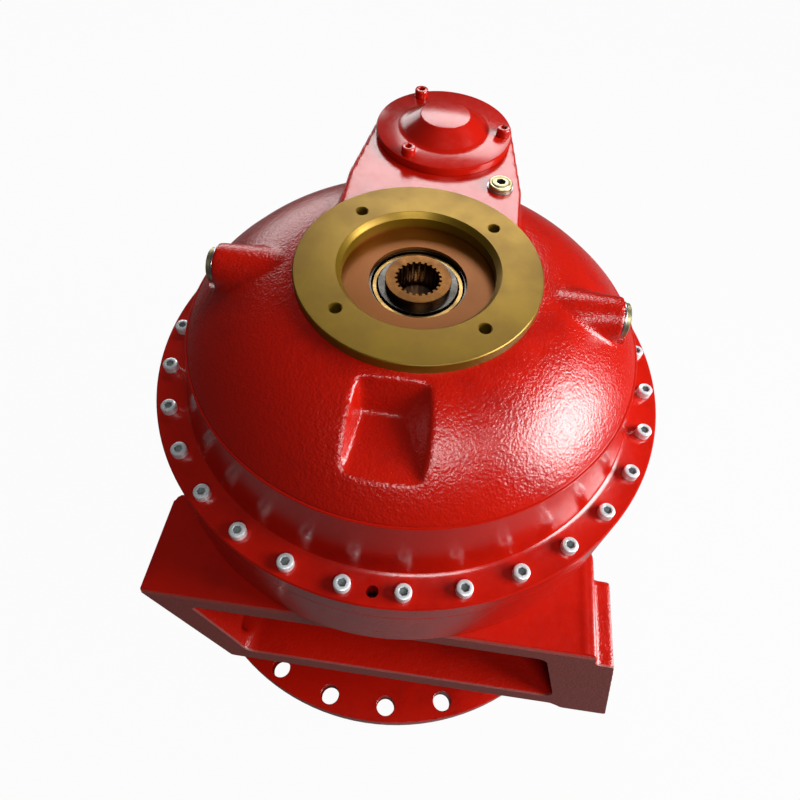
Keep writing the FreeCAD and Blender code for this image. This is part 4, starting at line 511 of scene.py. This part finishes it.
# %% Plugs
def plug(name, collar, thread, socket, place):
    profile = [(0, 6.5), (collar - 3.4, 6.5), (collar - 2.6, 6.1), (collar - 2.2, 5.6),
               (collar - 1.0, 5.6), (collar, 4.7), (collar, 1.9), (collar - 0.4, 1.5),
               (thread, 1.5), (thread, -18), (0, -18)]
    piece = turned(name, profile, 64)
    combine(piece, [prism("socket", hexagon(socket), 0.6, 8)], "DIFFERENCE", "EXACT")
    mark_socket(piece, socket, 6.4)
    bm = bmesh.new()
    bm.from_mesh(piece.data)
    bmesh.ops.transform(bm, matrix=place, verts=bm.verts)
    bm.to_mesh(piece.data)
    bm.free()
    return shade(piece)


filler = plug("filler_plug_turned", 11, 8, 4, at(60, 120, 476, 0.4))
level_plugs = []
for side, hand in ((1, "right"), (-1, "left")):
    side_place = sideways(side * PLUG_FACE * MM, 0, PLUG_HEIGHT * MM, side)
    level_plugs.append(plug(f"side_plug_turned_{hand}", 15, 12, 6, side_place))
report(filler)

# %% [markdown]
# ## Auxiliary cover
# A round plate closes the ear. Its middle rises into a flat-topped cap with conical sides.

# %% Auxiliary cover plate
plate_profile = [
    (0, 498), (23.4, 498), (24.4, 497.7), (25.2, 497.0), (37.6, 488.6), (39.6, 486.6),
    (42.0, 485.0), (45.5, 484.0), (65.4, 484.0), (66.2, 483.6), (66.5, 482.8), (66.5, 476.6),
    (66.1, 476), (0, 476),
]
plate_place = Matrix.Translation((0, EAR_Y, 0))
ear_plate = turned("auxiliary_plate", plate_profile, 128, place=plate_place)
plate_holes = [(x, y, 4.5, 470, 490) for x, y, _ in EAR_RING]
carve(ear_plate, drills("plate_holes", plate_holes, 24))
shade(ear_plate)
report(ear_plate)

# %% [markdown]
# ## Materials
# Three effects are shared by several finishes, so each is a node group: the grain of sand
# castings, the rings that a lathe tool leaves, and uneven soiling.

# %% Node helpers and shared groups
def new_group(name, inputs, outputs):
    group = bpy.data.node_groups.new(name, "ShaderNodeTree")
    for title, kind, default in inputs:
        socket = group.interface.new_socket(name=title, in_out="INPUT", socket_type=kind)
        if default is not None:
            socket.default_value = default
    for title in outputs:
        group.interface.new_socket(name=title, in_out="OUTPUT", socket_type="NodeSocketFloat")
    return group, group.nodes.new("NodeGroupInput"), group.nodes.new("NodeGroupOutput")


def math_node(tree, operation, first, second=None, third=None, clamp=False):
    node = tree.nodes.new("ShaderNodeMath")
    node.operation = operation
    node.use_clamp = clamp
    for index, item in enumerate((first, second, third)):
        if item is None:
            continue
        if isinstance(item, (int, float)):
            node.inputs[index].default_value = item
        else:
            tree.links.new(item, node.inputs[index])
    return node.outputs[0]


def noise(tree, vector, scale, detail=3.0, rough=0.5):
    node = tree.nodes.new("ShaderNodeTexNoise")
    node.inputs["Detail"].default_value = detail
    node.inputs["Roughness"].default_value = rough
    tree.links.new(vector, node.inputs["Vector"])
    if isinstance(scale, (int, float)):
        node.inputs["Scale"].default_value = scale
    else:
        tree.links.new(scale, node.inputs["Scale"])
    return node.outputs["Fac"]


FLOAT, VECTOR = "NodeSocketFloat", "NodeSocketVector"
cast_grain, start, end = new_group(
    "cast_grain", [("Vector", VECTOR, None), ("Size", FLOAT, 1.0)], ["Height"])
coarse = noise(cast_grain, start.outputs["Vector"],
               math_node(cast_grain, "DIVIDE", 190.0, start.outputs["Size"]), 6.0, 0.62)
pits = cast_grain.nodes.new("ShaderNodeTexVoronoi")
pits.feature = "SMOOTH_F1"
cast_grain.links.new(start.outputs["Vector"], pits.inputs["Vector"])
cast_grain.links.new(math_node(cast_grain, "DIVIDE", 520.0, start.outputs["Size"]),
                     pits.inputs["Scale"])
grain_height = math_node(cast_grain, "MULTIPLY_ADD", pits.outputs["Distance"], 0.55, coarse)
cast_grain.links.new(grain_height, end.inputs["Height"])

turning_marks, start, end = new_group(
    "turning_marks", [("Vector", VECTOR, None), ("Pitch", FLOAT, 0.0012)], ["Height"])
split = turning_marks.nodes.new("ShaderNodeSeparateXYZ")
turning_marks.links.new(start.outputs["Vector"], split.inputs[0])
square_x = math_node(turning_marks, "MULTIPLY", split.outputs[0], split.outputs[0])
square = math_node(turning_marks, "MULTIPLY_ADD", split.outputs[1], split.outputs[1], square_x)
radius = math_node(turning_marks, "SQRT", square)
rings = math_node(turning_marks, "DIVIDE", radius, start.outputs["Pitch"])
wave = math_node(turning_marks, "SINE", math_node(turning_marks, "MULTIPLY", rings, TAU))
wander = noise(turning_marks, start.outputs["Vector"], 30.0)
turning_marks.links.new(math_node(turning_marks, "MULTIPLY", wave, wander), end.inputs["Height"])

soiling, start, end = new_group(
    "soiling", [("Vector", VECTOR, None), ("Size", FLOAT, 1.0), ("Amount", FLOAT, 0.5)], ["Mask"])
cloud = noise(soiling, start.outputs["Vector"],
              math_node(soiling, "DIVIDE", 14.0, start.outputs["Size"]), 6.0, 0.62)
spread = math_node(soiling, "MULTIPLY_ADD", start.outputs["Amount"], 0.7, cloud)
soiling.links.new(math_node(soiling, "MULTIPLY_ADD", spread, 3.2, -2.0, clamp=True),
                  end.inputs["Mask"])
print("node groups", [group.name for group in bpy.data.node_groups])

# %% [markdown]
# Every finish takes the same few steps: an effect placed on the object's own coordinates, a mix
# of two colours by a mask, a range of roughness and a bump. A small class keeps them short.

# %% Material helpers
FOOT_FACE, FOOT_TOP, FOOT_LEAN = 0.228, 0.262, math.tan(math.radians(12))


class Finish:
    """One material with its shader, its coordinates and short calls for its nodes."""

    def __init__(self, name, roughness=0.4, metallic=0.0, coat=0.0):
        self.material = bpy.data.materials.new(name)
        self.material.use_nodes = True
        self.tree = self.material.node_tree
        self.shader = self.tree.nodes["Principled BSDF"]
        self.shader.inputs["Roughness"].default_value = roughness
        self.shader.inputs["Metallic"].default_value = metallic
        self.shader.inputs["Coat Weight"].default_value = coat
        self.shader.inputs["Coat Roughness"].default_value = 0.12
        self.place = self.tree.nodes.new("ShaderNodeTexCoord").outputs["Object"]

    def effect(self, group, **values):
        node = self.tree.nodes.new("ShaderNodeGroup")
        node.node_tree = group
        self.tree.links.new(self.place, node.inputs["Vector"])
        for title, number in values.items():
            node.inputs[title].default_value = number
        return node.outputs[0]

    def mix(self, mask, first, second):
        node = self.tree.nodes.new("ShaderNodeMix")
        node.data_type = "RGBA"
        self.tree.links.new(mask, node.inputs["Factor"])
        for title, item in (("A", first), ("B", second)):
            socket = next(s for s in node.inputs if s.name == title and s.type == "RGBA")
            if isinstance(item, tuple):
                socket.default_value = (*item, 1.0)
            else:
                self.tree.links.new(item, socket)
        return next(s for s in node.outputs if s.type == "RGBA")

    def colour(self, output):
        self.tree.links.new(output, self.shader.inputs["Base Color"])

    def ranged(self, value, name, low, high, curve="LINEAR"):
        """A Map Range node with its From or To limits set."""
        node = self.tree.nodes.new("ShaderNodeMapRange")
        node.interpolation_type = curve
        node.inputs[name + " Min"].default_value = low
        node.inputs[name + " Max"].default_value = high
        self.tree.links.new(value, node.inputs["Value"])
        return node.outputs["Result"]

    def rough(self, mask, low, high):
        self.tree.links.new(self.ranged(mask, "To", low, high), self.shader.inputs["Roughness"])

    def bump(self, height, strength, distance):
        node = self.tree.nodes.new("ShaderNodeBump")
        node.inputs["Strength"].default_value = strength
        node.inputs["Distance"].default_value = distance
        self.tree.links.new(height, node.inputs["Height"])
        self.tree.links.new(node.outputs["Normal"], self.shader.inputs["Normal"])

    def axes(self):
        split = self.tree.nodes.new("ShaderNodeSeparateXYZ")
        self.tree.links.new(self.place, split.inputs[0])
        return tuple(split.outputs)

    def height_mask(self, low, high):
        """1 above the higher object height, 0 below the lower one."""
        return self.ranged(self.axes()[2], "From", low, high, "SMOOTHSTEP")

    def front_mask(self):
        """1 on the foot's leaning front plane, 0 a few millimetres behind it."""
        _, y, z = self.axes()
        lean = math_node(self.tree, "MULTIPLY_ADD", z, -FOOT_LEAN, y)
        behind = math_node(self.tree, "ADD", lean, FOOT_FACE + FOOT_TOP * FOOT_LEAN)
        return self.ranged(behind, "From", 0.0024, 0.0009)


print("finish helpers ready")


# %% [markdown]
# The red paint is a thick gloss enamel. On rough castings it follows the grain of the sand,
# which breaks its highlights up. On turned bands it lies smooth.

# %% Paint
# The third red, lighter and greyer, goes on the foot's front face: a painted sheen of glare.
RED, DEEP_RED, GLARE_SHEEN_RED = (0.36, 0.005, 0.001), (0.2, 0.002, 0.001), (0.2, 0.035, 0.028)


def red_paint(name, grain_depth, matt_front_with_sheen=False):
    """Rough above the dome's edge and below the band, smooth between them and on the ear."""
    paint = Finish(name, 0.3, 0.0, 0.04)
    tree = paint.tree
    shade_mask = paint.effect(soiling, Size=1.2, Amount=0.15)
    base = paint.mix(shade_mask, RED, DEEP_RED)
    grain = paint.effect(cast_grain, Size=1.0)
    above = paint.height_mask(0.4145, 0.4165)
    below = math_node(tree, "SUBTRACT", 1.0, paint.height_mask(0.2605, 0.2625))
    ear_top = paint.height_mask(0.4735, 0.4752)
    above = math_node(tree, "SUBTRACT", above, ear_top)
    rough_part = math_node(tree, "ADD", above, below, clamp=True)
    share = math_node(tree, "MULTIPLY_ADD", rough_part, 0.88, 0.12)
    height = math_node(tree, "MULTIPLY", grain, share)
    paint.bump(height, 0.55, grain_depth)
    gloss = math_node(tree, "MULTIPLY_ADD", paint.effect(cast_grain, Size=2.0), 0.16, 0.08)
    # The foot's leaning front plane gets rougher paint and a lighter, greyer red, a painted sheen
    # of glare.
    if matt_front_with_sheen:
        front = math_node(tree, "MULTIPLY", paint.front_mask(), below)
        base = paint.mix(front, base, GLARE_SHEEN_RED)
        gloss = math_node(tree, "MULTIPLY_ADD", front, 0.35, gloss)
    paint.colour(base)
    tree.links.new(gloss, paint.shader.inputs["Roughness"])
    return paint.material


casting_paint = red_paint("casting_paint", 0.00095)
foot_paint = red_paint("foot_paint", 0.0007, matt_front_with_sheen=True)
plate_paint = red_paint("plate_paint", 0.0002)
print("paints", casting_paint.name, foot_paint.name, plate_paint.name)

# %% [markdown]
# The bare metals differ in colour and in how they were worked: the motor flange has turning
# marks under yellow preservative, the screws are bright zinc, and the plugs yellow zinc.

# %% Metals
def metal(name, light, dark, low, high, marks=0.0, size=1.0, metallic=1.0):
    finish = Finish(name, low, metallic)
    mask = finish.effect(soiling, Size=size, Amount=0.35)
    finish.colour(finish.mix(mask, light, dark))
    finish.rough(mask, low, high)
    if marks:
        finish.bump(finish.effect(turning_marks, Pitch=0.0021), 0.25, marks)
    else:
        finish.bump(finish.effect(cast_grain, Size=0.4), 0.2, 0.0001)
    return finish


OLIVE, BROWN_OLIVE = (0.19, 0.112, 0.005), (0.135, 0.072, 0.004)
ORANGE_BROWN = (0.16, 0.047, 0.002)
preserved = metal("preserved_steel", OLIVE, BROWN_OLIVE, 0.36, 0.44, 0.00003, 0.8, 0.65)
# The pilot bore's floor, low in the ring, is a darker orange-brown: browner tone plus painted
# shade.
bore_floor_tone_and_shade_mask = preserved.height_mask(0.4632, 0.468)
blotches = preserved.mix(preserved.effect(soiling, Size=0.8, Amount=0.35), OLIVE, BROWN_OLIVE)
preserved.colour(preserved.mix(bore_floor_tone_and_shade_mask, ORANGE_BROWN, blotches))
preserved_steel = preserved.material
bright_zinc = metal("bright_zinc", (0.82, 0.86, 0.88), (0.6, 0.64, 0.66), 0.26, 0.42,
                    size=0.15, metallic=0.5).material
# A darker zinc for the insides of screw sockets: painted shade in the sockets.
shaded_socket_zinc = metal("shaded_socket_zinc", (0.34, 0.38, 0.38), (0.16, 0.18, 0.18), 0.3, 0.5,
                    size=0.1, metallic=0.5).material
yellow_zinc = metal("yellow_zinc", (0.5, 0.46, 0.3), (0.36, 0.29, 0.13), 0.34, 0.5,
                    size=0.2).material
turned_steel = metal("turned_steel", (0.55, 0.55, 0.57), (0.36, 0.36, 0.38), 0.25, 0.4,
                     0.00005).material
gear_steel = metal("gear_steel", (0.42, 0.42, 0.44), (0.24, 0.24, 0.26), 0.3, 0.45).material
# Bearing steel is painted near black: painted shade of the dark gap round the input hub.
shaded_bearing_steel = metal("shaded_bearing_steel", (0.1, 0.095, 0.09), (0.04, 0.036, 0.03), 0.2, 0.34,
                      size=0.2).material
bronze = metal("cage_bronze", (0.55, 0.36, 0.13), (0.3, 0.18, 0.06), 0.3, 0.5, size=0.3).material
hub_steel = metal("oiled_hub_steel", (0.12, 0.05, 0.012), (0.07, 0.028, 0.007), 0.24, 0.4,
                  0.00004, 0.3).material
cast_iron = metal("cast_iron", (0.2, 0.2, 0.21), (0.1, 0.095, 0.09), 0.55, 0.8,
                  metallic=0.5).material
seal_rubber = metal("seal_rubber", (0.02, 0.02, 0.02), (0.05, 0.05, 0.048), 0.55, 0.75,
                    metallic=0.0).material
# Near black for the insides of plug sockets: painted shade in the sockets.
painted_socket_shade = metal("painted_socket_shade", (0.06, 0.06, 0.06), (0.02, 0.018, 0.016), 0.4, 0.6,
                      size=0.1, metallic=0.4).material
print("materials", len(bpy.data.materials))

# %% [markdown]
# ## Dressing
# New pieces stand for the CAD nodes that they show better. Each rides on the casing's body and
# hides the nodes that it replaces.

# %% New pieces in place
def place_piece(piece, material, slot, *nodes, body="casing", second=None):
    indices = [polygon.material_index for polygon in piece.data.polygons]
    piece.data.materials.clear()
    piece.data.materials.append(material)
    if second:
        piece.data.materials.append(second)
        piece.data.polygons.foreach_set("material_index", indices)
    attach(piece, body)
    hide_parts(*nodes)


place_piece(dome, casting_paint, "paint", "cover")
place_piece(flange_ring, preserved_steel, "steel", "cover")
place_piece(foot, foot_paint, "paint", "housing")
place_piece(cover_screws, bright_zinc, "zinc", "cover_screws", second=shaded_socket_zinc)
place_piece(ear_screws, plate_paint, "paint", "auxiliary_screws")
place_piece(keeper_screws, bright_zinc, "zinc", "seal_carrier_screws", second=shaded_socket_zinc)
place_piece(ear_plate, plate_paint, "paint", "auxiliary_cover")
place_piece(filler, yellow_zinc, "yellow_zinc", "filler_plug", second=painted_socket_shade)
for piece, node in zip(level_plugs, ("side_plug_right", "side_plug_left")):
    place_piece(piece, yellow_zinc, "yellow_zinc", node, second=painted_socket_shade)

# %% [markdown]
# The other nodes keep their own shape and get a finish by their name. Where their edges show,
# a fine bevel lets the edges catch the light.

# %% CAD nodes
NODE_FINISH = {
    "drum_flange": (plate_paint, 0.8), "seal_carrier": (plate_paint, 0.8),
    "filler_washer": (turned_steel, 0.2), "side_washer_right": (turned_steel, 0.2),
    "side_washer_left": (turned_steel, 0.2), "input_hub": (hub_steel, 0.35),
    "input_retaining_ring": (turned_steel, 0.2), "auxiliary_seal": (seal_rubber, 0),
    "shaft_seal": (seal_rubber, 0), "drum_lock_nut": (turned_steel, 0.5),
    "hub_end_plate": (turned_steel, 0.5), "hub_retaining_ring": (turned_steel, 0.2),
    "seal_retaining_ring": (turned_steel, 0.2), "centre_ball": (shaded_bearing_steel, 0),
}
WORD_FINISH = [("cage", bronze), ("bearing", shaded_bearing_steel), ("gear", gear_steel),
               ("pins", shaded_bearing_steel), ("carrier", cast_iron)]


def dress(node, material, bevel):
    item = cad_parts[node]
    for index in range(len(item.material_slots)):
        item.material_slots[index].material = material
    if not item.material_slots:
        item.data.materials.append(material)
    if bevel:
        weld = item.modifiers.new("weld", "WELD")
        weld.merge_threshold = 1e-5
        edge = item.modifiers.new("edges", "BEVEL")
        edge.width = bevel * MM
        edge.segments = 2
        edge.limit_method = "ANGLE"
        edge.angle_limit = math.radians(40)


for node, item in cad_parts.items():
    if item.hide_render:
        continue
    if node in NODE_FINISH:
        dress(node, *NODE_FINISH[node])
        continue
    finish = next((made for word, made in WORD_FINISH if word in node), gear_steel)
    dress(node, finish, 0)
print("dressed", len(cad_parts), "nodes")

# %% [markdown]
# ## Floor and light
# The plain pale floor lies a little below the drum flange, so that the flange stays clear of
# it when the drum end swivels. Camera and transmission rays see the floor and the sky
# nearly white, as in the photograph, while the floor keeps the object's soft shadow.

# %% Floor
FLOOR_DROP = 42 * MM
bm = bmesh.new()
bmesh.ops.create_grid(bm, x_segments=2, y_segments=2, size=6,
                      matrix=Matrix.Translation((0, 0, -FLOOR_DROP)))
floor_mesh = bpy.data.meshes.new("floor")
bm.to_mesh(floor_mesh)
bm.free()
floor = bpy.data.objects.new("floor", floor_mesh)
bpy.context.scene.collection.objects.link(floor)
floor_finish = Finish("floor_paper", 0.9)
floor_finish.colour(floor_finish.mix(floor_finish.effect(soiling, Size=3.0, Amount=0.2),
                                     (0.15, 0.15, 0.15), (0.13, 0.13, 0.13)))
tree = floor_finish.tree
path = tree.nodes.new("ShaderNodeLightPath")
seen = math_node(tree, "MAXIMUM", path.outputs["Is Camera Ray"],
                 path.outputs["Is Transmission Ray"])
white = tree.nodes.new("ShaderNodeEmission")
blend = tree.nodes.new("ShaderNodeMixShader")
tree.links.new(math_node(tree, "MULTIPLY", seen, 0.965), blend.inputs[0])
tree.links.new(floor_finish.shader.outputs[0], blend.inputs[1])
tree.links.new(white.outputs[0], blend.inputs[2])
surface = next(node for node in tree.nodes if node.type == "OUTPUT_MATERIAL")
tree.links.new(blend.outputs[0], surface.inputs["Surface"])
floor.data.materials.append(floor_finish.material)
print("floor ready")

# %% [markdown]
# A large lamp at the right gives the dome its broad highlight. Weaker ones at the left, behind
# and in front lift the shadows, and give the zinc and the paint something to mirror.

# %% Lamps and sky
def lamp(name, place, size, power):
    light = bpy.data.lights.new(name, "AREA")
    light.shape = "RECTANGLE"
    light.size, light.size_y = size
    light.energy = power
    item = bpy.data.objects.new(name, light)
    item.location = place
    item.rotation_mode = "QUATERNION"
    aim = Vector((0, 0, 0.3)) - Vector(place)
    item.rotation_quaternion = aim.to_track_quat("-Z", "Y")
    bpy.context.scene.collection.objects.link(item)


lamp("left_softbox", (-0.9, 1.4, 0.7), (0.8, 0.7), 5.5)
lamp("right_window", (1.4, -0.15, 1.05), (0.9, 0.85), 50)
lamp("back_softbox", (0.05, 1.25, 1.35), (0.9, 0.5), 11)
lamp("front_softbox", (0.4, -1.1, 2.0), (0.8, 0.4), 15)

world = bpy.data.worlds.new("studio")
bpy.context.scene.world = world
world.use_nodes = True
sky = world.node_tree
sky_colour = sky.nodes["Background"]
sky_colour.inputs["Color"].default_value = (0.86, 0.84, 0.82, 1)
sky_colour.inputs["Strength"].default_value = 0.05
sky_white = sky.nodes.new("ShaderNodeBackground")
sky_white.inputs["Color"].default_value = (1, 1, 1, 1)
sky_path = sky.nodes.new("ShaderNodeLightPath")
sky_seen = math_node(sky, "MAXIMUM", sky_path.outputs["Is Camera Ray"],
                     sky_path.outputs["Is Transmission Ray"])
sky_mix = sky.nodes.new("ShaderNodeMixShader")
sky.links.new(sky_seen, sky_mix.inputs[0])
sky.links.new(sky_colour.outputs[0], sky_mix.inputs[1])
sky.links.new(sky_white.outputs[0], sky_mix.inputs[2])
sky_out = next(node for node in sky.nodes if node.type == "OUTPUT_WORLD")
sky.links.new(sky_mix.outputs[0], sky_out.inputs["Surface"])
print("lamps and sky ready")
